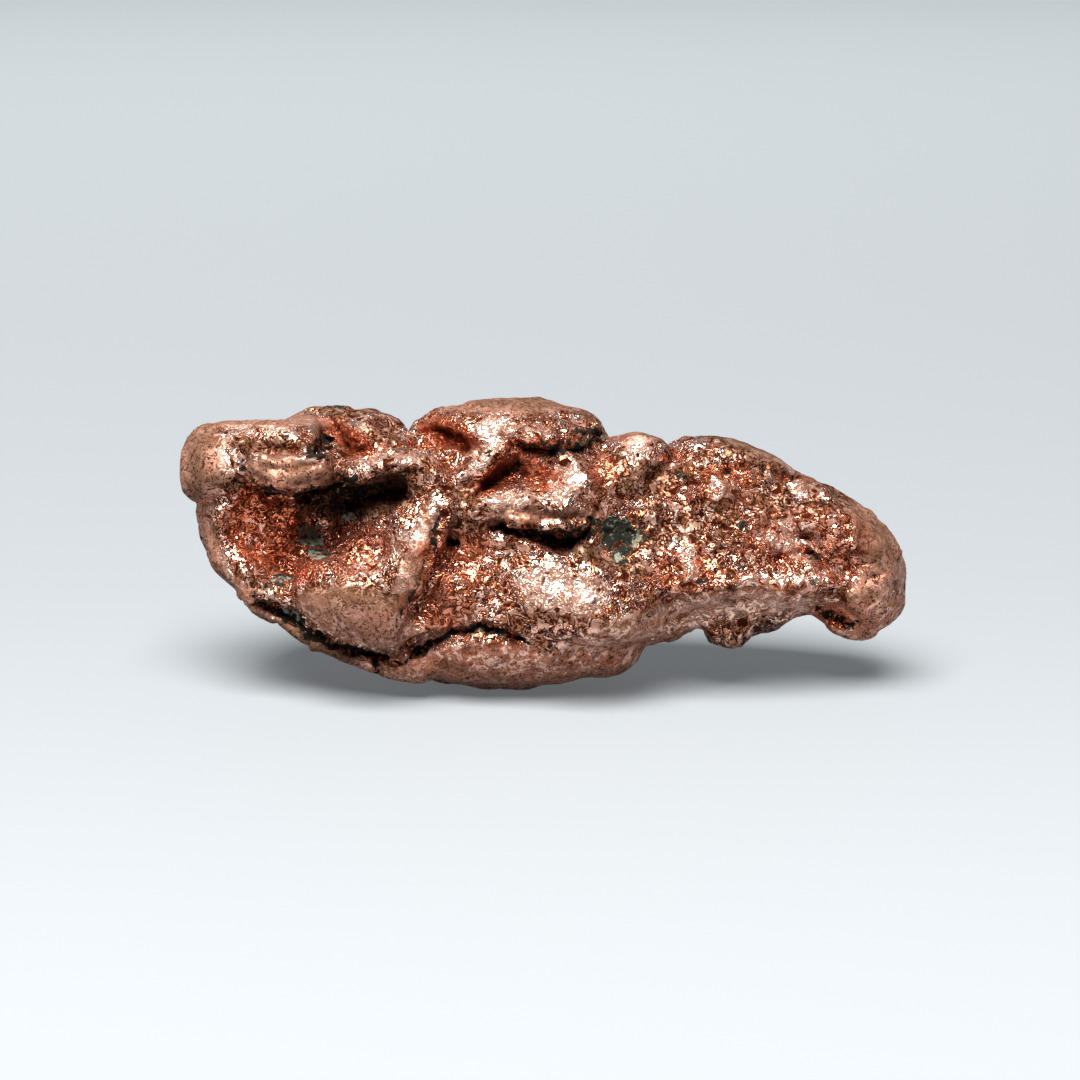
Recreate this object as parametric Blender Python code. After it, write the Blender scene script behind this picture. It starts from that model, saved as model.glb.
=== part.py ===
"""Native copper nugget: one solid lump of folded and rounded metal, about 72 mm long, resting on its belly.

The nugget is shaped in its own face frame, in millimetres: x runs along its length, y from the face to
the back and z up its face. Big lobes are fused and smoothed into the bulk, and broad hollows are pressed
into that. Rolls, lips and knobs are fused on next. Notches are cut through the outline, grooves and pits
are pressed into the skin, and soft lumps are raised all over. At the end the face leans back by LEAN, the
lowest part of the belly is worn flat, and the lump is scaled to metres and set down on that flat.
"""

import math

import bmesh
import bpy
import numpy as np
from mathutils import Matrix

MM = 0.001
NODE = "copper_nugget"

LEAN = math.radians(15)  # the face looks up by this much when the nugget is at rest
FOOT_WEAR = 0.5  # mm worn off the lowest part of the belly
TRIANGLES = 9400

# Each fusing step: the size of its voxels in mm, and how many rounds of smoothing follow it.
BULK_FUSE = (0.55, 10)
FORM_FUSE = (0.42, 7)
SKIN_FUSE = (0.42, 1)

FRONT, BACK = -1, 1

# Lobes: centre, radii, and turn in degrees about the face's normal (counter-clockwise seen from the front).
BULK_LOBES = {
    "left_bulk": ((-21.8, 0.3, 17.2), (12.4, 10.0, 9.8), 0),
    "mid_bulk": ((-5.0, 0.5, 14.4), (15.0, 10.3, 12.8), 0),
    "belly": ((-3.2, 0.8, 8.4), (14.8, 9.6, 8.25), 0),
    "waist": ((9.5, 0.5, 14.6), (12.0, 8.3, 9.7), 0),
    "right_bulk": ((18.0, 0.5, 15.0), (12.5, 7.5, 9.2), -14),
    "shoulder": ((28.6, 0.5, 13.9), (10.0, 6.0, 5.6), -42),
    "end_lobe": ((31.5, 0.0, 10.8), (4.5, 5.2, 5.6), 0),
}

FORM_LOBES = {
    "brow_bulb": ((-31.2, -1.5, 22.2), (4.3, 6.5, 4.6), 0),
    "back_crest": ((-21.2, 2.6, 23.8), (6.4, 6.2, 4.6), 0),
    "crest_end": ((-17.4, 2.0, 23.6), (4.4, 5.6, 4.4), 0),
    "cap_dome": ((-2.8, 0.3, 24.8), (10.1, 8.8, 4.2), 0),
    "cap_fold": ((-4.4, -6.4, 22.6), (4.4, 2.6, 1.9), 32),
    "notch_web": ((-12.9, -3.2, 21.6), (3.4, 5.2, 3.5), 0),
    "knob": ((9.8, -3.0, 22.8), (3.4, 3.6, 2.7), -8),
    "knob_slope": ((8.2, -4.2, 20.6), (3.0, 3.0, 3.0), -30),
    "right_crest": ((18.6, 0.3, 20.8), (7.8, 6.0, 4.1), -13),
    "inner_slope": ((-14.9, -4.0, 13.0), (7.2, 4.2, 4.2), 44),
    "belly_fold": ((-17.2, -4.9, 8.8), (7.4, 5.6, 4.4), -16),
    "lower_bulge": ((3.2, -4.7, 10.2), (9.6, 6.2, 4.9), -16),
    "gutter_mound": ((-7.9, -6.6, 10.2), (3.8, 2.4, 2.5), -10),
    "ledge_mound": ((0.6, -5.4, 18.9), (6.8, 4.0, 2.5), 4),
    "cap_mound": ((3.4, -5.0, 20.8), (3.2, 3.0, 2.5), 20),
    "foot_lobe": ((18.5, -1.0, 6.9), (2.6, 3.2, 2.8), 0),
    "belly_end": ((6.8, 0.4, 4.8), (3.8, 4.6, 3.3), 20),
    "back_knuckle": ((2.0, 7.8, 17.5), (6.5, 4.2, 4.6), 20),
    "back_heel": ((-25.0, 6.0, 13.5), (6.0, 5.0, 4.8), -30),
    "back_swell": ((20.5, 5.6, 14.0), (7.0, 3.8, 3.6), -18),
    "back_belly": ((-4.0, 6.8, 7.4), (7.5, 4.2, 3.8), 8),
}

# Rolls: beads (x, y, z, radius) along a smooth path.
ROLLS = {
    "brow_roll": ((-30.8, -3.0, 23.3, 3.4), (-26.0, -4.5, 23.5, 3.3), (-21.8, -4.5, 23.4, 3.1)),
    "lip": (
        (-29.6, -6.8, 22.6, 1.3),
        (-27.2, -8.2, 21.6, 1.6),
        (-24.6, -9.0, 21.2, 1.8),
        (-22.3, -9.0, 21.8, 1.7),
        (-21.9, -7.8, 22.8, 1.8),
    ),
    "arch": (
        (-18.4, -8.4, 21.4, 1.0),
        (-15.4, -8.6, 22.2, 1.5),
        (-12.4, -8.2, 22.0, 2.2),
        (-10.9, -7.8, 19.6, 2.7),
        (-11.1, -7.8, 16.4, 3.0),
        (-12.0, -7.6, 13.2, 3.2),
        (-13.7, -7.0, 10.4, 3.4),
    ),
    "rim": (
        (-31.9, -2.0, 17.2, 2.0),
        (-30.6, -3.4, 13.6, 2.1),
        (-27.8, -4.2, 10.7, 2.2),
        (-23.4, -4.0, 7.8, 2.2),
        (-17.6, -3.0, 4.6, 2.4),
        (-12.0, -3.0, 3.2, 2.4),
    ),
    "right_ridge": (
        (15.0, -5.8, 10.8, 1.9),
        (20.0, -5.5, 11.1, 1.9),
        (25.0, -4.9, 10.7, 1.7),
        (29.5, -3.8, 10.2, 1.6),
    ),
    "right_spur": (
        (15.6, -4.4, 21.6, 2.0),
        (17.2, -5.0, 19.6, 2.2),
        (17.4, -5.2, 17.4, 2.2),
        (16.2, -5.2, 15.4, 2.0),
    ),
    "shoulder_ridge": (
        (24.0, -4.2, 18.4, 1.8),
        (28.2, -4.5, 17.2, 1.8),
        (31.4, -4.2, 15.0, 1.9),
        (32.9, -3.2, 12.2, 2.0),
    ),
    "foot_ridge": ((18.4, -1.5, 7.3, 2.4), (21.6, -1.2, 9.2, 2.2), (24.6, -0.6, 11.3, 2.0)),
    "tab": ((10.5, -1.5, 6.9, 2.3), (13.4, -1.6, 6.7, 1.3)),
    "back_fold": (
        (-27.0, 6.6, 21.0, 2.2),
        (-19.0, 8.6, 17.0, 2.6),
        (-12.0, 9.2, 11.0, 2.8),
        (-4.0, 8.6, 7.5, 2.3),
    ),
    "back_cord": (
        (8.0, 7.0, 21.0, 1.7),
        (15.0, 6.6, 19.0, 1.9),
        (23.0, 5.4, 17.6, 1.9),
        (30.0, 4.4, 13.5, 1.8),
    ),
}

# Hollows: side, centre (x, z), radii, turn, depth, and how steep the wall is (1 for a saucer).
BULK_HOLLOWS = {
    "basin": (FRONT, (-25.0, 15.2), (6.6, 6.4), -25, 5.2, 1.6),
    "basin_throat": (FRONT, (-18.4, 17.4), (6.6, 4.2), 15, 5.6, 1.2),
    "gutter": (FRONT, (-6.6, 12.0), (4.2, 6.5), -25, 2.2, 1.0),
    "cap_hollow": (FRONT, (0.0, 21.8), (8.4, 3.0), 8, 2.2, 1.2),
    "waist_dish": (FRONT, (13.0, 18.4), (6.0, 3.2), -6, 1.2, 1.0),
    "right_dish": (FRONT, (26.2, 14.2), (6.0, 3.6), -20, 2.2, 1.3),
    "back_pocket": (BACK, (-22.0, 8.8), (6.0, 3.0), -35, 2.4, 1.2),
    "back_saddle": (BACK, (-8.0, 18.5), (5.0, 4.8), -20, 3.2, 1.2),
    "back_dish": (BACK, (12.5, 14.0), (5.6, 4.2), -10, 2.2, 1.2),
}

# Grooves and pits pressed along the skin's normal: side, path (x, z, half width), depth.
GROOVES = {
    "throat": (
        FRONT,
        ((-23.0, 19.2, 0.8), (-19.5, 19.0, 1.5), (-16.0, 19.4, 1.6), (-14.0, 19.8, 1.0)),
        2.0,
    ),
    "rim_crack": (
        FRONT,
        ((-28.5, 8.7, 0.6), (-25.0, 7.6, 0.9), (-22.0, 5.9, 0.9), (-19.0, 4.3, 0.8), (-14.5, 2.9, 0.6)),
        1.8,
    ),
    "belly_crack": (
        FRONT,
        ((-14.0, 3.2, 0.5), (-12.0, 4.5, 0.8), (-9.0, 5.5, 0.7), (-6.5, 6.2, 0.8), (-2.5, 5.0, 0.5)),
        1.6,
    ),
    "slot": (FRONT, ((-4.7, 16.4, 0.6), (-1.0, 15.8, 0.9), (2.0, 15.2, 1.0), (4.6, 15.5, 0.8)), 2.6),
    "arch_foot": (
        FRONT,
        ((-8.3, 15.8, 0.7), (-9.0, 13.0, 0.8), (-10.6, 9.8, 0.9), (-13.0, 5.4, 0.8)),
        1.5,
    ),
    "cap_pocket": (
        FRONT,
        ((-12.0, 25.2, 0.7), (-9.6, 25.2, 1.2), (-7.4, 24.4, 1.2), (-6.4, 23.4, 0.8)),
        1.6,
    ),
    "cap_under": (FRONT, ((-2.6, 24.6, 0.6), (0.6, 24.2, 0.9), (3.6, 24.4, 1.0), (6.4, 25.8, 0.8)), 1.7),
    "brow_groove": (
        FRONT,
        ((-22.2, 28.0, 0.7), (-20.6, 25.8, 0.9), (-18.8, 24.6, 0.9), (-15.6, 24.8, 0.8)),
        1.2,
    ),
    "bulb_crease": (FRONT, ((-35.0, 18.6, 0.6), (-32.5, 18.6, 0.7), (-30.6, 19.0, 0.7)), 0.9),
    "rim_slit": (FRONT, ((-33.2, 17.2, 0.5), (-32.2, 14.8, 0.7), (-31.2, 12.9, 0.6)), 0.6),
    "knob_crease": (FRONT, ((9.6, 20.6, 0.7), (12.0, 21.4, 0.8), (13.6, 23.6, 0.7)), 0.6),
    "crest_crease": (
        FRONT,
        ((14.6, 22.8, 0.6), (18.0, 22.2, 0.8), (22.0, 21.6, 0.9), (25.6, 20.8, 0.9)),
        1.1,
    ),
    "lobe_slits": (FRONT, ((31.4, 12.8, 0.6), (33.8, 11.9, 0.6)), 0.8),
    "matrix_pit": (FRONT, ((7.8, 15.2, 2.4),), 1.6),
    "eye": (FRONT, ((-8.6, 14.9, 0.9),), 1.6),
    "brow_hole": (FRONT, ((-20.8, 24.7, 1.2),), 1.6),
    "lobe_cavity": (FRONT, ((29.3, 7.7, 1.1), (30.7, 6.9, 1.3)), 1.5),
    "cap_eye": (FRONT, ((1.6, 24.0, 1.2),), 1.4),
    "cap_red": (FRONT, ((-4.8, 20.4, 0.9), (-3.0, 21.6, 1.4)), 1.6),
    "ledge_red": (FRONT, ((1.4, 20.8, 1.3),), 1.2),
    "dish_pit": (FRONT, ((23.4, 13.4, 1.1), (26.0, 14.6, 1.4)), 0.8),
    "back_seam": (
        BACK,
        ((-30.0, 17.0, 0.7), (-24.0, 18.0, 1.0), (-17.0, 13.4, 1.0), (-11.0, 7.0, 0.8)),
        2.0,
    ),
    "back_slot": (BACK, ((-4.0, 13.0, 0.8), (2.0, 11.8, 1.1), (8.0, 13.0, 0.9)), 2.2),
    "back_crack": (BACK, ((12.0, 9.4, 0.7), (17.0, 10.4, 1.0), (24.0, 11.0, 0.8)), 1.8),
    "back_cap": (BACK, ((-12.0, 24.4, 0.8), (-4.0, 22.6, 1.1), (5.0, 23.4, 0.9)), 1.8),
    "back_eye": (BACK, ((-14.0, 20.5, 1.6),), 1.8),
    "back_pit": (BACK, ((21.0, 8.8, 1.4),), 1.4),
}

# Lumps raised all over, coarse to fine: grain of the noise and height. SWELL puts back what smoothing takes off.
LUMPS = ((4.2, 0.5), (1.9, 0.27))
SWELL = 0.14

# Notches cut through the outline from front to back: centre and radii of each cutter.
NOTCHES = {
    "top_notch": ((-13.3, -3.0, 26.9), (0.7, 16.0, 0.9)),
    "under_notch": ((15.8, -1.0, 5.0), (1.0, 16.0, 1.7)),
    "lobe_notch": ((26.4, -1.0, 5.2), (2.6, 18.0, 2.7)),
}


def clear_scene():
    for obj in list(bpy.data.objects):
        bpy.data.objects.remove(obj)


def smooth_path(points, step=0.35):
    """Points read from a Catmull-Rom curve through the given ones, any number of values each."""
    p = np.array(points, float)
    p = np.vstack([2 * p[0] - p[1], p, 2 * p[-1] - p[-2]])
    out = []
    for a, b, c, d in zip(p, p[1:], p[2:], p[3:]):
        count = max(2, int(np.linalg.norm(c[:2] - b[:2]) / step))
        for t in np.arange(count) / count:
            square = 2 * a - 5 * b + 4 * c - d
            cube = 3 * b - a - 3 * c + d
            out.append(0.5 * (2 * b + (c - a) * t + square * t**2 + cube * t**3))
    out.append(p[-2])
    return np.array(out)


def add_ellipsoid(bm, centre, radii, turn=0.0, detail=4):
    """Adds a ball scaled to three radii and turned about y."""
    matrix = Matrix.Translation(centre) @ Matrix.Rotation(-math.radians(turn), 4, "Y")
    matrix = matrix @ Matrix.Diagonal((*radii, 1))
    bmesh.ops.create_icosphere(bm, subdivisions=detail, radius=1, matrix=matrix)


def add_roll(bm, beads):
    """Adds a string of overlapping balls, fine enough to fuse into one roll."""
    for x, y, z, radius in smooth_path(beads):
        add_ellipsoid(bm, (x, y, z), (radius,) * 3, detail=2)


def evaluated(mesh, modifiers):
    """The mesh after a stack of modifiers, each given as (type, settings)."""
    obj = bpy.data.objects.new("work", mesh)
    bpy.context.scene.collection.objects.link(obj)
    for kind, settings in modifiers:
        modifier = obj.modifiers.new(kind, kind)
        for key, value in settings.items():
            setattr(modifier, key, value)
    graph = bpy.context.evaluated_depsgraph_get()
    result = bpy.data.meshes.new_from_object(obj.evaluated_get(graph))
    bpy.data.objects.remove(obj)
    return result


def fused(mesh, voxel, smooth):
    """One skin round all the overlapping shapes of a mesh, with its creases filled by smoothing."""
    return evaluated(
        mesh,
        [
            ("REMESH", {"mode": "VOXEL", "voxel_size": voxel, "adaptivity": 0.0}),
            ("SMOOTH", {"factor": 0.5, "iterations": smooth}),
        ],
    )


def coordinates(mesh):
    co = np.empty(len(mesh.vertices) * 3, np.float32)
    mesh.vertices.foreach_get("co", co)
    return co.reshape(-1, 3).astype(float)


def normals(mesh):
    no = np.empty(len(mesh.vertices) * 3, np.float32)
    mesh.vertex_normals.foreach_get("vector", no)
    return no.reshape(-1, 3).astype(float)


def set_coordinates(mesh, co):
    mesh.vertices.foreach_set("co", co.astype(np.float32).ravel())
    mesh.update()


def facing(mesh, side, fade):
    """0 to 1: how far each point looks to the front or the back, 0 where it looks away by more than fade."""
    return np.clip((normals(mesh)[:, 1] * side + fade) * 2.5, 0, 1)


def press_hollow(mesh, side, centre, radii, turn, depth, steep):
    """Pushes an oval patch of one side straight in along y."""
    co = coordinates(mesh)
    angle = math.radians(turn)
    dx, dz = co[:, 0] - centre[0], co[:, 2] - centre[1]
    along = (dx * math.cos(angle) + dz * math.sin(angle)) / radii[0]
    across = (dz * math.cos(angle) - dx * math.sin(angle)) / radii[1]
    share = np.clip(1 - (along**2 + across**2) ** steep, 0, 1)
    co[:, 1] -= side * depth * share * facing(mesh, side, 0)
    set_coordinates(mesh, co)


def press_groove(mesh, side, path, depth):
    """Pushes the skin in along its normal, near a path drawn on one side."""
    co = coordinates(mesh)
    best = np.zeros(len(co))
    for x, z, half in smooth_path(path, 0.2) if len(path) > 1 else path:
        distance = np.hypot(co[:, 0] - x, co[:, 2] - z) / half
        best = np.maximum(best, np.clip(1 - distance**2, 0, 1))
    share = best * facing(mesh, side, 0.2)
    set_coordinates(mesh, co - depth * share[:, None] * normals(mesh))


def bulk():
    """The big lobes fused into one body, with the broad hollows pressed into it."""
    bm = bmesh.new()
    for centre, radii, turn in BULK_LOBES.values():
        add_ellipsoid(bm, centre, radii, turn)
    mesh = bpy.data.meshes.new("bulk")
    bm.to_mesh(mesh)
    bm.free()
    mesh = fused(mesh, *BULK_FUSE)
    for hollow in BULK_HOLLOWS.values():
        press_hollow(mesh, *hollow)
    return mesh


def with_forms(mesh):
    """The bulk with its rolls, lips and knobs fused on."""
    bm = bmesh.new()
    bm.from_mesh(mesh)
    for centre, radii, turn in FORM_LOBES.values():
        add_ellipsoid(bm, centre, radii, turn)
    for beads in ROLLS.values():
        add_roll(bm, beads)
    mesh = bpy.data.meshes.new("forms")
    bm.to_mesh(mesh)
    bm.free()
    return fused(mesh, *FORM_FUSE)


def lumpy(mesh):
    """The mesh pushed in and out along its normals by soft noise."""
    stack = [("DISPLACE", {"strength": SWELL, "mid_level": 0.0})]
    for grain, height in LUMPS:
        clouds = bpy.data.textures.new("lumps", "CLOUDS")
        clouds.noise_scale = grain
        clouds.noise_depth = 1
        stack.append(("DISPLACE", {"texture": clouds, "strength": 2 * height, "mid_level": 0.5}))
    return evaluated(mesh, stack)


def notched(mesh):
    """The mesh with long upright cutters taken out of its edge."""
    bm = bmesh.new()
    for centre, radii in NOTCHES.values():
        add_ellipsoid(bm, centre, radii, detail=3)
    cutters = bpy.data.meshes.new("notches")
    bm.to_mesh(cutters)
    bm.free()
    cutter = bpy.data.objects.new("notches", cutters)
    bpy.context.scene.collection.objects.link(cutter)
    mesh = evaluated(mesh, [("BOOLEAN", {"operation": "DIFFERENCE", "object": cutter, "solver": "EXACT"})])
    bpy.data.objects.remove(cutter)
    return mesh


def carved(mesh):
    """The mesh with its notches, grooves, pits and lumps."""
    mesh = notched(mesh)
    for groove in GROOVES.values():
        press_groove(mesh, *groove)
    return lumpy(fused(mesh, *SKIN_FUSE))


def leaned(mesh):
    """The mesh with its face leaning back, thinned to its final number of triangles."""
    mesh.transform(Matrix.Rotation(-LEAN, 4, "X"))
    count = sum(len(face.vertices) - 2 for face in mesh.polygons)
    return evaluated(mesh, [("DECIMATE", {"ratio": TRIANGLES / count, "use_collapse_triangulate": True})])


def wear_foot(mesh):
    """Cuts the lowest part of the belly off flat and closes the cut with one face."""
    ground = coordinates(mesh)[:, 2].min() + FOOT_WEAR
    bm = bmesh.new()
    bm.from_mesh(mesh)
    cut = bmesh.ops.bisect_plane(
        bm,
        geom=[*bm.verts, *bm.edges, *bm.faces],
        plane_co=(0, 0, ground),
        plane_no=(0, 0, -1),
        clear_outer=True,
    )
    rim = [part for part in cut["geom_cut"] if isinstance(part, bmesh.types.BMEdge)]
    bmesh.ops.contextual_create(bm, geom=rim)
    bmesh.ops.recalc_face_normals(bm, faces=bm.faces)
    bm.to_mesh(mesh)
    bm.free()


def set_down(mesh):
    """Scales the mesh to metres, with the middle of its box over the origin and its foot on the ground."""
    co = coordinates(mesh)
    low, high = co.min(0), co.max(0)
    middle = (low + high) / 2
    mesh.transform(Matrix.Scale(MM, 4) @ Matrix.Translation((-middle[0], -middle[1], -low[2])))


def copper():
    material = bpy.data.materials.new("native_copper")
    material.use_nodes = True
    shader = material.node_tree.nodes["Principled BSDF"]
    shader.inputs["Base Color"].default_value = (0.72, 0.36, 0.25, 1)
    shader.inputs["Metallic"].default_value = 1.0
    shader.inputs["Roughness"].default_value = 0.38
    return material


def main():
    clear_scene()
    mesh = leaned(carved(with_forms(bulk())))
    wear_foot(mesh)
    set_down(mesh)
    mesh.name = NODE
    mesh.materials.clear()
    mesh.materials.append(copper())
    mesh.shade_smooth()
    nugget = bpy.data.objects.new(NODE, mesh)
    bpy.context.scene.collection.objects.link(nugget)


main()
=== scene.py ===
"""The looks of the native copper nugget: a fine skin over its solid, its metal, and a soft-lit set.

The skin is worked in the nugget's face frame, in millimetres: x runs along its length, y from the
face to the back and z up its face. LEAN and SHIFT carry it to the row frame, in metres. The steps
are: a close copy of the solid, carved cracks, folds and pits, grain raised by noise, and masks that
tell the metal where it is red with oxide, brown with patina, crusted or cracked, and where light
and
shade are painted on it: paler for highlights, redder in the hollows, darker in a few shaded places
and black in cracks and recesses.

Marks on the front are placed as the camera's EYE sees them, on the plane y = 0 of the face frame.
Those on the back are placed by x and z, and those on the top and underside by x and y.
"""

import math

import bpy
import numpy as np
from mathutils import Matrix, Vector, noise
from mathutils.bvhtree import BVHTree

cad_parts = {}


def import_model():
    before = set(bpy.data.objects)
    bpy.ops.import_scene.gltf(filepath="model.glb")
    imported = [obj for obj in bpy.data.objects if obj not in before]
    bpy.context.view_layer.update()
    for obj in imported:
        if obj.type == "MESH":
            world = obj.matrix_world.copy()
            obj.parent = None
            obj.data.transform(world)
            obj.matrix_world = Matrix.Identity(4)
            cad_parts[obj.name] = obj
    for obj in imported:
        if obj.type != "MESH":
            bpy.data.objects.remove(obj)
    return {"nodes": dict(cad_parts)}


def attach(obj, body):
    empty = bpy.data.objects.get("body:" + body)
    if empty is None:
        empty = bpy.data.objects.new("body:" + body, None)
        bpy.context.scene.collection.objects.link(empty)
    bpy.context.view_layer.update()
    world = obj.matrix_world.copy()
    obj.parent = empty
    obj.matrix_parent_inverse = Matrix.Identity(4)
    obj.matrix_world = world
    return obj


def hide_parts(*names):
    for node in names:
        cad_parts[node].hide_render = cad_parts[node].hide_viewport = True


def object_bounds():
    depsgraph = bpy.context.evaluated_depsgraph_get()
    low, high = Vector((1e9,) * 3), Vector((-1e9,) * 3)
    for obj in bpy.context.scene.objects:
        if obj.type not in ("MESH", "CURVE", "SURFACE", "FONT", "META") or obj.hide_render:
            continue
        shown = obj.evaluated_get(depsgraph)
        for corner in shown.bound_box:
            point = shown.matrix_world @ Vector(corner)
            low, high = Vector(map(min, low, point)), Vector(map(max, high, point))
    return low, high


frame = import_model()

CAD_BOX = [list(corner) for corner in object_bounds()]

MM = 0.001
NODE = "copper_nugget"
LEAN = math.radians(15)
SHIFT = Vector((0.628, 3.9474, -0.1489))  # mm, where the leaned frame holds the row frame's origin
EYE = Vector((0.0, -300.0, 15.0))  # mm, in the face frame
TO_ROW = Matrix.Scale(MM, 4) @ Matrix.Translation(-SHIFT) @ Matrix.Rotation(-LEAN, 4, "X")
TO_FACE = TO_ROW.inverted()

FIRST_VOXEL, FIRST_SMOOTH = 0.2, 4  # mm and rounds, for the close copy
SKIN_VOXEL, SKIN_SMOOTH = 0.19, 2  # and for the carved skin
SKIN_TRIANGLES = 190000
SEEN_DEPTH = 0.5  # mm behind the first surface that the eye meets
EASE = 0.0003  # m inside the solid's box where the skin starts to ease off

# The wandering of every border: feature size and reach in mm, and a seed for each direction.
WANDER_BROAD, WANDER_FINE, WANDER_SEEDS = (1.3, 0.35), (0.5, 0.22), (31, 33)
CRACK_RAGGED = 1.7  # how far a crack's border wanders, beside other borders
FLAP_RAGGED, FLAP_EDGE = 0.8, 0.3
MOUND_SOFT = 1.25
PATH_STEP = 0.1  # mm
THINNEST = 0.05  # mm, the least half width of a stroke
PATCH_REACH = 1.25  # where a patch ends, in half lengths

# Relief: feature size in mm, height in mm, seed.
LUMPS = (2.4, 0.16, 1)
CRINKLE, CRINKLE_STRETCH, CRINKLE_LEVEL = (1.5, 0.34, 2), (1.4, 1, 0.8), 0.25
FINE_CRINKLE = (0.7, 0.12, 3)
HOLES, HOLE_RADIUS = (1.15, 0.36, 4), 0.45  # the radius is in cells
HOLE_GROUPS = (2.0, 5)  # size and seed of the areas that hold them
CRUST, CRUST_RISE = (0.7, 0.25, 6), 0.1
SKIN_RISE = 0.05  # mm that makes up for what smoothing took off
PATINA_BROAD, PATINA_FINE = (3.2, 41), (1.1, 42)  # size and seed of its blotches
BROAD_ROUNDS, CLOSE_ROUNDS = 160, 16  # of smoothing, to find hollows large and small

FRONT, BACK, TOP, UNDER = "front", "back", "top", "under"

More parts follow.
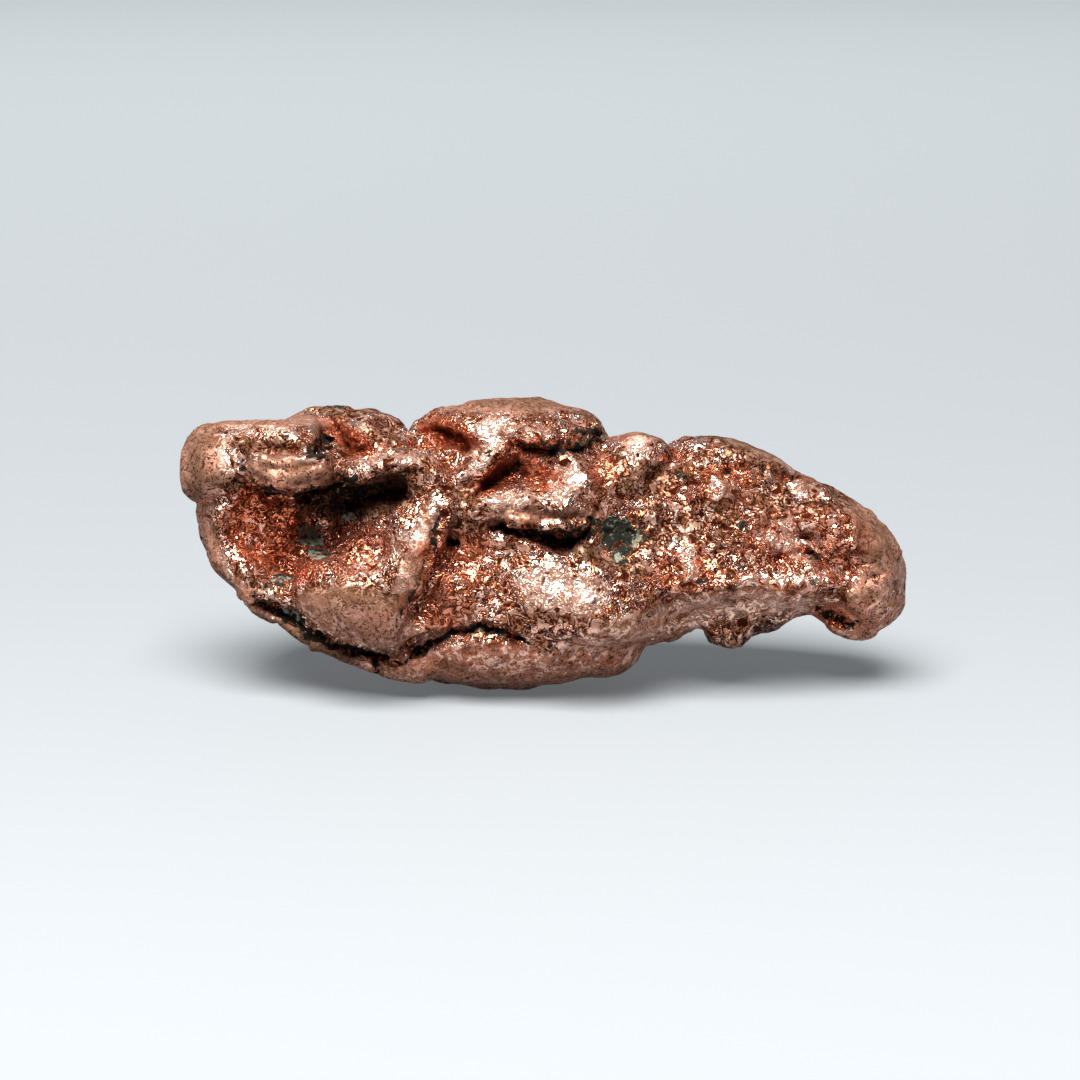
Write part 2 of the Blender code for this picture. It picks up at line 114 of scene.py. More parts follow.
# Cracks and crevices: side, path (across, up, half width), depth.
CRACKS = (
    # under the rim, with its spur
    (
        FRONT,
        (
            (-29.4, 9.5, 0.2), (-28.0, 8.7, 0.45), (-26.4, 7.9, 0.75), (-24.8, 7.1, 0.9),
            (-23.6, 6.1, 0.5), (-22.7, 5.5, 0.8), (-21.3, 4.9, 0.3), (-20.0, 4.3, 0.55),
            (-18.9, 4.0, 0.25), (-17.6, 3.8, 0.6), (-16.2, 3.4, 0.4), (-14.5, 2.8, 0.2),
        ),
        1.1,
    ),
    (FRONT, ((-16.6, 3.6, 0.45), (-16.3, 2.4, 0.35), (-16.1, 1.4, 0.2)), 0.6),
    # in the belly
    (
        FRONT,
        (
            (-14.3, 2.7, 0.35), (-13.0, 3.3, 0.6), (-11.6, 4.4, 0.75), (-10.4, 5.2, 0.6),
            (-8.6, 5.6, 0.45), (-7.2, 6.2, 0.55), (-5.8, 6.4, 0.6), (-4.2, 5.9, 0.5),
            (-2.4, 5.2, 0.4), (-0.8, 5.0, 0.2),
        ),
        1.0,
    ),
    # the slot under the middle ledge
    (
        FRONT,
        (
            (-4.9, 16.4, 0.35), (-4.0, 16.2, 0.7), (-3.0, 15.9, 0.6), (-2.0, 15.9, 0.8),
            (-0.6, 15.5, 0.65), (0.6, 15.3, 0.85), (2.2, 15.0, 0.75), (3.4, 15.1, 1.0),
            (4.2, 16.0, 0.8), (4.8, 16.9, 0.5),
        ),
        1.4,
    ),
    # the deep hole beside the tongue and the groove above it
    (FRONT, ((-21.7, 25.5, 0.5), (-21.5, 24.8, 0.8), (-21.9, 24.0, 0.8), (-23.2, 23.4, 0.4)), 2.0),
    # between the tongue and the throat
    (FRONT, ((-23.2, 19.0, 0.4), (-21.6, 19.8, 0.5), (-20.2, 20.6, 0.5), (-18.6, 21.0, 0.4)), 1.2),
    (FRONT, ((-30.6, 22.4, 0.25), (-29.4, 21.8, 0.4), (-28.4, 21.2, 0.3)), 0.5),
    # gutter between the belly fold and the bulge
    (
        FRONT,
        (
            (-10.2, 17.6, 0.5), (-10.6, 15.0, 0.5), (-11.4, 12.6, 0.45), (-12.4, 10.4, 0.4),
            (-13.6, 8.2, 0.4), (-14.4, 6.4, 0.45),
        ),
        0.4,
    ),
    (
        FRONT,
        (
            (-11.6, 10.2, 0.3), (-11.2, 11.4, 0.3), (-9.6, 12.6, 0.25), (-7.4, 12.7, 0.3),
            (-5.2, 11.8, 0.35), (-4.6, 10.4, 0.3),
        ),
        0.35,
    ),
    # under the cap
    (
        FRONT,
        (
            (-2.6, 24.4, 0.25), (-1.4, 24.5, 0.5), (0.2, 24.4, 0.45), (1.4, 24.0, 0.6),
            (2.4, 23.6, 0.4),
        ),
        0.9,
    ),
    (FRONT, ((3.6, 25.6, 0.3), (5.0, 25.9, 0.5), (6.2, 25.6, 0.5), (7.0, 25.3, 0.4)), 0.7),
    (FRONT, ((-8.4, 28.6, 0.2), (-7.2, 28.3, 0.35), (-6.2, 28.8, 0.25)), 0.3),
    (FRONT, ((-1.2, 28.8, 0.2), (-0.2, 28.6, 0.4), (0.6, 28.4, 0.2)), 0.25),
    # the right end: step, slits and the undercut
    (FRONT, ((24.6, 21.0, 0.3), (25.8, 21.0, 0.6), (26.5, 21.4, 0.4)), 0.6),
    (FRONT, ((31.6, 13.0, 0.2), (33.0, 12.7, 0.35), (34.4, 13.3, 0.25)), 0.35),
    (FRONT, ((32.4, 10.8, 0.25), (33.6, 11.4, 0.4), (34.6, 11.8, 0.25)), 0.4),
    (FRONT, ((27.6, 8.2, 0.6), (28.8, 7.6, 1.0), (30.4, 7.0, 0.9), (31.4, 6.4, 0.4)), 0.9),
    (FRONT, ((24.0, 18.2, 0.3), (26.0, 18.4, 0.4), (28.4, 18.4, 0.5), (30.4, 17.6, 0.3)), 0.3),
    (FRONT, ((10.6, 7.4, 0.3), (12.6, 7.2, 0.45), (14.4, 7.5, 0.3)), 0.25),
    # the thin slit down the rim
    (FRONT, ((-34.6, 17.0, 0.3), (-34.0, 15.6, 0.5), (-33.4, 14.0, 0.45), (-33.0, 12.8, 0.2)), 0.4),
    # guessed: the back, the top and the underside
    (
        BACK,
        (
            (-25.6, 13.0, 0.3), (-22.6, 14.4, 0.6), (-19.4, 13.6, 0.8), (-16.0, 14.8, 0.6),
            (-12.8, 17.0, 0.3),
        ),
        1.1,
    ),
    (
        BACK,
        (
            (4.4, 8.4, 0.3), (7.6, 10.0, 0.6), (11.4, 9.4, 0.7), (14.6, 10.8, 0.5),
            (17.0, 12.6, 0.3),
        ),
        1.0,
    ),
    (BACK, ((10.2, 9.6, 0.4), (10.8, 7.6, 0.4), (10.2, 6.0, 0.2)), 0.6),
    (BACK, ((20.6, 18.4, 0.3), (23.6, 17.0, 0.5), (26.8, 17.4, 0.4), (28.6, 16.4, 0.2)), 0.7),
    (
        BACK,
        (
            (-10.2, 22.8, 0.3), (-7.4, 21.4, 0.6), (-3.6, 21.6, 0.8), (0.6, 20.8, 0.7),
            (4.6, 21.8, 0.4),
        ),
        1.1,
    ),
    (BACK, ((-31.0, 20.8, 0.3), (-28.6, 19.4, 0.5), (-26.2, 20.4, 0.3)), 0.6),
    (TOP, ((-9.4, 3.4, 0.2), (-6.6, 4.6, 0.4), (-3.4, 4.0, 0.5), (-0.4, 5.4, 0.3)), 0.5),
    (TOP, ((14.6, 2.8, 0.2), (17.4, 3.8, 0.4), (20.0, 3.0, 0.4), (22.6, 4.2, 0.2)), 0.5),
    (TOP, ((-30.2, 0.6, 0.2), (-27.4, 1.8, 0.4), (-24.4, 1.2, 0.4), (-22.2, 2.6, 0.3)), 0.5),
    (
        UNDER,
        (
            (-16.4, 1.0, 0.3), (-12.2, -0.4, 0.5), (-7.6, 1.4, 0.6), (-2.8, 0.2, 0.4),
            (1.6, 1.8, 0.3),
        ),
        0.7,
    ),
    (UNDER, ((6.2, 3.8, 0.3), (9.8, 2.2, 0.5), (13.6, 3.2, 0.5), (16.8, 1.4, 0.3)), 0.7),
)

# Folds and ledges raised, and hollows pressed below zero, with a height in place of the depth.
FOLDS = (
    # the bands over the tongue and the hollow that it hangs over
    (
        FRONT,
        (
            (-31.4, 24.2, 0.4), (-29.6, 24.0, 0.7), (-27.4, 24.1, 0.7), (-25.0, 23.9, 0.6),
            (-23.6, 23.6, 0.4),
        ),
        -0.55,
    ),
    (FRONT, ((-30.2, 20.8, 0.5), (-28.0, 19.8, 0.8), (-25.4, 19.0, 0.9), (-22.8, 19.3, 0.8)), -0.9),
    (FRONT, ((-26.4, 21.8, 0.3), (-25.0, 22.1, 0.5), (-23.4, 22.3, 0.5), (-22.4, 22.6, 0.3)), -0.6),
    (
        FRONT,
        (
            (-30.0, 23.4, 0.4), (-28.4, 22.9, 0.6), (-26.0, 22.7, 0.7), (-23.6, 22.9, 0.7),
            (-21.8, 23.1, 0.5),
        ),
        0.7,
    ),
    # red grooves beside the tongue and under the cap
    (
        FRONT,
        (
            (-21.2, 27.2, 0.4), (-20.4, 25.8, 0.6), (-19.2, 24.4, 0.8), (-17.8, 23.8, 0.7),
            (-16.6, 23.4, 0.4),
        ),
        -1.5,
    ),
    (FRONT, ((-12.0, 26.0, 0.5), (-10.4, 25.7, 0.9), (-8.6, 24.9, 1.0), (-7.2, 24.0, 0.6)), -1.3),
    (
        FRONT,
        (
            (-6.6, 19.4, 0.4), (-5.2, 20.6, 0.8), (-3.6, 21.8, 1.0), (-2.2, 23.0, 0.8),
            (-1.4, 23.8, 0.4),
        ),
        -0.8,
    ),
    (FRONT, ((-1.6, 21.0, 0.6), (0.4, 20.9, 0.8), (1.8, 21.2, 0.7), (2.8, 22.2, 0.4)), -0.7),
    # the arch, its end and the throat under it
    (
        FRONT,
        (
            (-17.4, 21.9, 0.9), (-14.8, 22.3, 1.1), (-11.6, 22.3, 1.2), (-9.6, 20.6, 1.2),
            (-9.2, 18.0, 1.2), (-10.0, 14.6, 1.0),
        ),
        0.45,
    ),
    (FRONT, ((-17.4, 23.8, 0.6), (-14.6, 24.0, 0.8), (-11.0, 24.1, 0.8), (-9.0, 23.4, 0.6)), -0.6),
    (FRONT, ((-18.8, 21.6, 1.0), (-17.4, 21.9, 1.2)), 0.6),
    (FRONT, ((-20.4, 19.0, 1.0), (-18.0, 19.2, 1.4), (-15.6, 19.8, 1.3), (-13.6, 20.2, 0.9)), -0.8),
    # the cap's lower front and the folds between it and the ledge
    (
        FRONT,
        (
            (-3.4, 25.6, 0.8), (-1.0, 25.3, 1.1), (1.6, 25.2, 1.2), (4.0, 25.6, 1.0),
            (5.2, 26.2, 0.6),
        ),
        1.4,
    ),
    (FRONT, ((-8.2, 21.2, 0.8), (-6.4, 22.2, 1.0), (-4.6, 23.4, 1.0), (-3.2, 24.6, 0.7)), 0.8),
    (FRONT, ((2.2, 23.2, 0.8), (4.0, 22.4, 1.3), (4.6, 20.6, 1.4), (3.0, 19.6, 1.1)), 0.45),
    (
        FRONT,
        (
            (-6.4, 18.2, 0.8), (-4.0, 18.7, 1.3), (-1.0, 18.7, 1.3), (2.0, 18.4, 1.2),
            (5.0, 18.0, 0.8),
        ),
        0.8,
    ),
    (FRONT, ((-3.0, 17.2, 0.6), (-0.6, 16.8, 0.8), (2.0, 16.6, 0.9), (4.0, 17.0, 0.8)), 0.9),
    (
        FRONT,
        (
            (-3.0, 14.9, 0.6), (-0.4, 14.3, 0.7), (2.0, 14.0, 0.8), (4.8, 13.8, 0.9),
            (6.0, 14.2, 0.6),
        ),
        0.2,
    ),
    # the ridge in the groove beside the tongue, and flakes on the back crest
    (FRONT, ((-19.8, 26.6, 0.3), (-18.6, 25.2, 0.5), (-17.2, 24.0, 0.4)), 0.45),
    (FRONT, ((-17.4, 26.8, 0.4), (-16.2, 25.4, 0.6), (-14.4, 24.6, 0.4)), 0.4),
    # the right side's ridges and ledges
    (FRONT, ((16.4, 21.4, 0.6), (18.0, 20.4, 0.9), (17.6, 19.0, 0.7)), 0.45),
    (FRONT, ((14.6, 24.6, 0.7), (17.4, 24.4, 1.0), (20.6, 23.6, 0.8)), 0.3),
    (FRONT, ((23.8, 17.8, 0.5), (26.6, 17.4, 0.7), (30.2, 17.2, 0.5)), 0.4),
    (FRONT, ((17.6, 10.2, 0.6), (20.6, 10.9, 1.0), (24.6, 10.3, 1.0), (28.8, 10.9, 0.7)), 0.5),
    (FRONT, ((30.4, 17.2, 0.4), (31.5, 16.0, 0.6), (31.3, 14.4, 0.4)), 0.35),
    (FRONT, ((25.0, 20.2, 0.8), (26.8, 19.9, 1.1), (29.0, 19.3, 0.8)), 0.35),
    (FRONT, ((13.2, 13.4, 0.7), (15.2, 12.4, 1.1), (14.2, 10.8, 1.0), (12.0, 10.2, 0.7)), 0.6),
    (FRONT, ((27.8, 10.2, 0.5), (29.6, 10.6, 0.8), (31.2, 10.8, 0.5)), 0.35),
    # what the outline needs: rim, brow, back crest, cap, shoulder and the right end
    (FRONT, ((-29.8, 9.6, 0.8), (-27.6, 7.4, 1.0), (-25.0, 5.8, 1.1), (-22.6, 4.2, 0.8)), 0.45),
    (
        FRONT,
        (
            (-33.4, 26.8, 0.8), (-35.6, 25.0, 1.0), (-36.2, 22.0, 1.1), (-35.8, 19.4, 0.9),
            (-35.0, 16.8, 0.7),
        ),
        0.4,
    ),
    (FRONT, ((-19.2, 28.4, 0.8), (-16.8, 28.0, 1.1), (-14.8, 26.8, 1.1), (-13.8, 25.6, 0.6)), 0.45),
    (FRONT, ((-12.8, 26.2, 0.7), (-11.4, 27.8, 0.9), (-9.6, 28.8, 0.9), (-7.4, 29.2, 0.7)), 0.4),
    (FRONT, ((-4.6, 29.4, 0.7), (-1.6, 29.8, 0.9), (1.6, 29.5, 0.7)), 0.2),
    (FRONT, ((32.4, 18.6, 0.7), (34.4, 16.4, 1.0), (35.6, 13.6, 0.7)), 0.4),
    (FRONT, ((36.4, 12.0, 0.7), (36.6, 9.6, 0.8), (35.6, 7.0, 0.7)), -0.3),
    (FRONT, ((22.6, 7.2, 0.7), (25.0, 7.6, 0.8), (27.6, 7.0, 0.7)), -0.4),
    (FRONT, ((29.2, 6.2, 0.6), (31.6, 5.2, 0.8), (33.4, 5.6, 0.6)), 0.3),
    # guessed: the back
    (
        BACK,
        (
            (-30.0, 12.6, 0.8), (-26.0, 10.2, 1.4), (-20.0, 9.8, 1.6), (-14.6, 11.4, 1.2),
            (-11.0, 13.6, 0.8),
        ),
        0.6,
    ),
    (BACK, ((6.0, 14.0, 0.9), (11.0, 15.4, 1.5), (17.0, 14.6, 1.4), (22.0, 14.8, 0.9)), 0.6),
    (BACK, ((-8.0, 14.6, 1.0), (-3.4, 12.6, 1.6), (1.6, 13.4, 1.3), (4.0, 15.6, 0.8)), -0.7),
    (BACK, ((-27.0, 23.6, 0.8), (-22.0, 24.4, 1.2), (-17.4, 23.2, 0.8)), -0.4),
    # the inside edge of the rim
    (FRONT, ((-32.0, 18.0, 0.5), (-31.4, 14.8, 0.7), (-30.0, 12.0, 0.7), (-27.6, 10.6, 0.6)), 0.35),
)

# Flaps with a sharp edge, in the same way.
FLAPS = (
    # the tongue, from the brow to its round end over the throat
    (
        FRONT,
        (
            (-30.2, 23.9, 0.35), (-28.8, 23.0, 0.6), (-27.2, 22.0, 1.0), (-25.2, 21.2, 1.3),
            (-23.2, 21.5, 1.5), (-22.0, 22.1, 1.25),
        ),
        0.55,
    ),
    # the arch's end and the ledges at its side
    (FRONT, ((-18.6, 21.7, 0.7), (-17.2, 22.0, 0.9), (-15.6, 22.6, 0.7)), 0.4),
    (FRONT, ((-6.6, 20.2, 0.4), (-4.4, 19.9, 0.6), (-2.2, 20.0, 0.5)), 0.25),
    # flakes on the right side
    (FRONT, ((24.4, 20.4, 0.5), (26.2, 20.4, 0.8), (28.2, 19.8, 0.6)), 0.3),
    (FRONT, ((15.4, 20.0, 0.6), (17.4, 19.6, 0.9), (19.2, 19.8, 0.6)), 0.25),
    (FRONT, ((21.4, 13.6, 0.5), (23.2, 14.4, 0.7), (24.8, 13.8, 0.5)), 0.3),
    (FRONT, ((26.8, 13.0, 0.5), (28.4, 13.6, 0.6), (29.8, 13.0, 0.5)), 0.3),
)

# Mounds, and dips below zero:
# side, across, up, half length, half height, turn in degrees, height.
MOUNDS = (
    (FRONT, 2.8, 10.3, 7.4, 2.3, -8, -1.1),
    (FRONT, 2.6, 6.4, 7.4, 2.0, -8, 1.0),
    (FRONT, 2.6, 12.6, 7.0, 2.6, -8, -0.7),
    (FRONT, 4.2, 15.6, 2.0, 1.8, 0, 1.3),
    (FRONT, -8.0, 10.6, 3.6, 1.7, 0, 0.45),
    (FRONT, -17.0, 10.6, 4.4, 2.0, 14, 0.3),
    (FRONT, -15.2, 17.8, 3.4, 3.0, 30, 2.0),
    (FRONT, -13.2, 19.2, 2.6, 3.2, 0, -1.4),
    (FRONT, -27.0, 16.0, 3.0, 4.0, 0, 0.8),
    (FRONT, 1.8, 22.0, 3.4, 2.4, 0, 0.5),
    (FRONT, 4.6, 22.6, 2.0, 1.4, 0, -0.7),
    (FRONT, 26.4, 14.2, 5.0, 3.2, -6, 2.3),
    (FRONT, 27.2, 13.8, 3.4, 1.4, -16, 1.0),
    (FRONT, 12.6, 18.2, 4.0, 1.8, 0, 0.6),
    (FRONT, 11.6, 15.2, 3.4, 1.8, 0, -0.5),
    (FRONT, 14.0, 11.2, 3.4, 1.8, 0, 0.5),
    (FRONT, 12.0, 5.8, 3.4, 1.2, 0, 0.3),
    (BACK, -20.6, 17.8, 4.6, 2.6, 10, 0.5),
    (BACK, 13.0, 18.0, 4.0, 1.8, -10, -0.5),
    (BACK, -2.0, 7.0, 6.0, 2.4, 0, 0.5),
    (BACK, 27.0, 12.0, 3.6, 2.4, 0, 0.4),
)

# Single pits: side, across, up, radius, depth.
PITS = (
    (FRONT, -8.8, 14.9, 0.65, 1.2),
    (FRONT, 18.8, 21.8, 0.75, 0.7),
    (FRONT, 22.2, 22.0, 0.5, 0.6),
    (FRONT, 12.8, 7.0, 0.4, 0.5),
    (FRONT, 31.8, 6.8, 0.45, 0.6),
    (FRONT, 6.9, 25.2, 0.5, 0.6),
    (FRONT, 0.8, 24.2, 0.7, 0.7),
    (FRONT, 14.6, 5.5, 0.45, 0.6),
    (FRONT, -9.7, 1.4, 0.35, 0.3),
    (FRONT, 18.2, 11.6, 0.35, 0.35),
    (FRONT, -1.6, 21.9, 0.5, 0.5),
    (FRONT, 8.8, 11.4, 0.5, 0.4),
    (FRONT, 3.2, 15.4, 0.5, 0.5),
    (BACK, -24.4, 18.6, 0.7, 0.8),
    (BACK, -8.6, 12.0, 0.8, 1.0),
    (BACK, 1.2, 15.6, 0.6, 0.8),
    (BACK, 9.0, 17.4, 0.7, 0.8),
    (BACK, 19.4, 12.6, 0.6, 0.6),
    (BACK, 25.8, 9.8, 0.5, 0.5),
    (BACK, -15.4, 7.2, 0.5, 0.5),
    (TOP, 2.0, 1.6, 0.5, 0.4),
    (TOP, -18.4, 4.4, 0.6, 0.5),
)

# The tables from here to PALE hold soft patches of a kind of surface:
# side, across, up, half length, half height, turn in degrees, strength.
# Where the grain is coarse.
COARSE = (
    (FRONT, 26.0, 14.8, 6.6, 3.6, -8, 1.0),
    (FRONT, 17.0, 15.4, 8.0, 6.4, 0, 0.9),
    (FRONT, -27.4, 15.4, 3.6, 4.6, 10, 0.8),
    (FRONT, -7.0, 11.0, 4.0, 3.0, 0, 0.8),
    (FRONT, 21.0, 20.6, 6.0, 2.4, -14, 0.8),
    (BACK, -18.0, 15.0, 8.0, 3.6, 0, 0.8),
    (BACK, 10.0, 12.0, 8.0, 3.6, 0, 0.8),
    (BACK, -2.0, 14.0, 6.0, 3.0, 0, 0.7),
)

# Where the skin is matte and smooth.
SMOOTH = (
    (FRONT, -34.2, 22.0, 2.4, 4.6, -8, 1.0),
    (FRONT, -28.0, 26.9, 7.0, 0.7, 0, 0.8),
    (FRONT, -25.0, 21.8, 4.2, 1.5, -8, 1.0),
    (FRONT, -3.2, 28.7, 8.6, 1.0, 0, 0.95),
    (FRONT, -33.4, 14.0, 1.3, 5.0, 20, 0.9),
    (FRONT, -30.0, 9.6, 4.2, 1.0, -42, 0.8),
    (FRONT, -18.0, 7.2, 5.6, 2.6, -14, 0.9),
    (FRONT, -22.4, 4.2, 8.6, 1.1, -25, 0.95),
    (FRONT, -2.6, 2.2, 14.6, 2.2, 0, 0.65),
    (FRONT, 7.0, 4.8, 6.0, 1.8, 22, 0.8),
    (FRONT, 33.8, 8.6, 2.6, 4.0, 0, 1.0),
    (FRONT, 34.6, 15.0, 2.4, 4.6, 34, 0.9),
    (FRONT, 22.4, 24.2, 8.0, 0.9, -24, 0.6),
    (FRONT, 9.4, 25.4, 3.0, 0.8, 0, 0.5),
    (FRONT, 13.4, 6.6, 3.6, 1.6, 0, 0.5),
    (FRONT, 20.0, 8.8, 8.0, 1.3, 4, 0.5),
    (FRONT, 0.4, 17.4, 5.4, 0.6, 0, 0.8),
    (FRONT, -13.0, 12.0, 0.9, 6.0, -20, 0.6),
    (BACK, -1.0, 26.6, 9.0, 2.2, 0, 0.9),
    (BACK, -29.0, 24.6, 6.0, 2.0, 0, 0.8),
    (BACK, -21.0, 8.6, 6.4, 1.8, 8, 0.8),
    (BACK, 20.0, 22.6, 7.0, 1.6, -14, 0.7),
    (BACK, -2.0, 4.0, 12.0, 3.0, 0, 0.9),
    (BACK, 32.0, 12.0, 3.0, 5.0, 0, 0.9),
    (BACK, -33.0, 17.0, 2.4, 5.0, 0, 0.8),
    (TOP, -2.0, 3.0, 9.0, 5.0, 0, 0.8),
    (TOP, -29.0, 1.0, 5.0, 4.0, 0, 0.7),
    (TOP, 22.0, 2.0, 8.0, 2.6, 0, 0.5),
    (UNDER, -3.0, 0.0, 14.0, 7.0, 0, 0.9),
    (UNDER, 29.0, 0.0, 5.0, 4.0, 0, 0.8),
)

# Painted highlight: where the metal is made paler, glossier and less creased, so that its
# highlights show as broad pale areas.
PAINTED_HIGHLIGHT = (
    (FRONT, 2.2, 9.8, 4.8, 2.7, -14, 1.0),
    (FRONT, -5.6, 23.4, 2.8, 0.9, 52, 1.0),
    (FRONT, -4.4, 26.0, 2.4, 1.3, 0, 1.0),
    (FRONT, -0.6, 26.0, 2.0, 0.9, 0, 0.6),
    (FRONT, 2.5, 20.8, 1.7, 2.4, -20, 1.0),
    (FRONT, -2.8, 18.8, 3.9, 1.0, 4, 1.0),
    (FRONT, -11.4, 17.0, 1.1, 3.0, -24, 0.5),
    (FRONT, -13.8, 14.4, 1.6, 1.6, 0, 0.7),
    (FRONT, -14.4, 23.0, 4.2, 0.7, 0, 0.8),
    (FRONT, -28.4, 25.8, 4.4, 0.7, 0, 0.6),
    (FRONT, -30.9, 22.7, 1.4, 0.9, 0, 0.8),
    (FRONT, 18.2, 20.1, 1.6, 1.2, 0, 0.8),
    (FRONT, 23.8, 11.0, 4.8, 0.8, 0, 0.7),
    (FRONT, 25.6, 15.0, 3.8, 2.0, -20, 0.8),
    (FRONT, 14.8, 13.0, 1.0, 3.2, 0, 0.8),
    (FRONT, 26.4, 20.0, 2.0, 0.8, -10, 0.8),
    (FRONT, 9.8, 24.1, 1.4, 1.6, -30, 0.9),
    (FRONT, -17.0, 12.2, 3.4, 1.0, 18, 0.55),
    (FRONT, -6.6, 4.4, 1.8, 0.8, 0, 0.5),
    (FRONT, 28.8, 11.6, 2.2, 0.8, 0, 0.6),
    (FRONT, 20.0, 8.2, 8.8, 1.6, 4, 0.8),
    (FRONT, -1.0, 3.2, 12.0, 1.6, 0, 0.4),
    (FRONT, 34.2, 8.4, 2.0, 2.6, 0, 0.4),
    (FRONT, -28.4, 15.0, 1.6, 2.4, 10, 0.3),
    (FRONT, 5.4, 5.0, 5.0, 1.4, 20, 0.45),
    (BACK, -1.0, 25.0, 6.0, 1.4, 0, 0.8),
    (BACK, -20.0, 19.0, 4.0, 1.6, 6, 0.8),
    (BACK, 13.0, 14.6, 5.0, 1.2, -6, 0.8),
    (BACK, -19.0, 10.6, 5.0, 1.2, 4, 0.7),
    (BACK, 28.0, 18.6, 3.0, 1.2, -20, 0.7),
    (BACK, -1.0, 8.4, 5.0, 1.4, 0, 0.7),
)

# Where oxide reddens it.
REDDISH = (
    (FRONT, 0.0, 3.2, 13.0, 1.8, 2, 0.3),
    (FRONT, 21.0, 8.2, 9.0, 1.2, 4, 0.35),
    (FRONT, 33.6, 7.0, 2.4, 2.0, 0, 0.25),
    (FRONT, -27.6, 16.2, 3.6, 4.4, 10, 1.0),
    (FRONT, -24.6, 12.4, 3.4, 2.0, 0, 0.6),
    (FRONT, -18.6, 14.2, 3.0, 3.0, 0, 0.5),
    (FRONT, -9.0, 25.6, 3.0, 1.6, -20, 1.0),
    (FRONT, -4.0, 21.4, 3.2, 1.4, 36, 1.0),
    (FRONT, 0.6, 21.2, 2.4, 1.2, 0, 0.8),
    (FRONT, -0.2, 24.4, 4.0, 1.2, 0, 0.8),
    (FRONT, -18.8, 24.8, 3.0, 1.2, -42, 1.0),
    (FRONT, 26.4, 15.0, 6.8, 3.4, -6, 0.5),
    (FRONT, 30.0, 12.4, 2.6, 1.6, 20, 0.6),
    (FRONT, 22.6, 9.0, 5.0, 1.4, 0, 0.3),
    (FRONT, 14.4, 11.8, 3.4, 2.2, 0, 0.6),
    (FRONT, 18.6, 20.6, 3.0, 2.0, 0, 0.6),
    (FRONT, -8.6, 14.2, 4.6, 1.8, 0, 0.7),
    (FRONT, -10.4, 8.4, 3.4, 2.4, 0, 0.7),
    (FRONT, -8.0, 11.2, 3.2, 1.4, 0, 0.5),
    (FRONT, 6.4, 21.8, 1.6, 1.6, 0, 0.6),
    (FRONT, 29.4, 7.4, 2.0, 1.2, 0, 0.8),
    (BACK, -18.6, 15.0, 6.4, 2.0, 0, 0.9),
    (BACK, -3.0, 13.6, 5.0, 2.0, 0, 0.9),
    (BACK, 10.6, 10.6, 6.0, 2.0, 8, 0.8),
    (BACK, 12.6, 18.2, 4.0, 1.6, 0, 0.7),
    (BACK, -3.0, 20.6, 6.4, 1.0, 0, 0.9),
    (BACK, 24.6, 15.6, 4.0, 1.4, 0, 0.7),
    (UNDER, 12.0, 2.0, 5.0, 2.4, 0, 0.6),
)
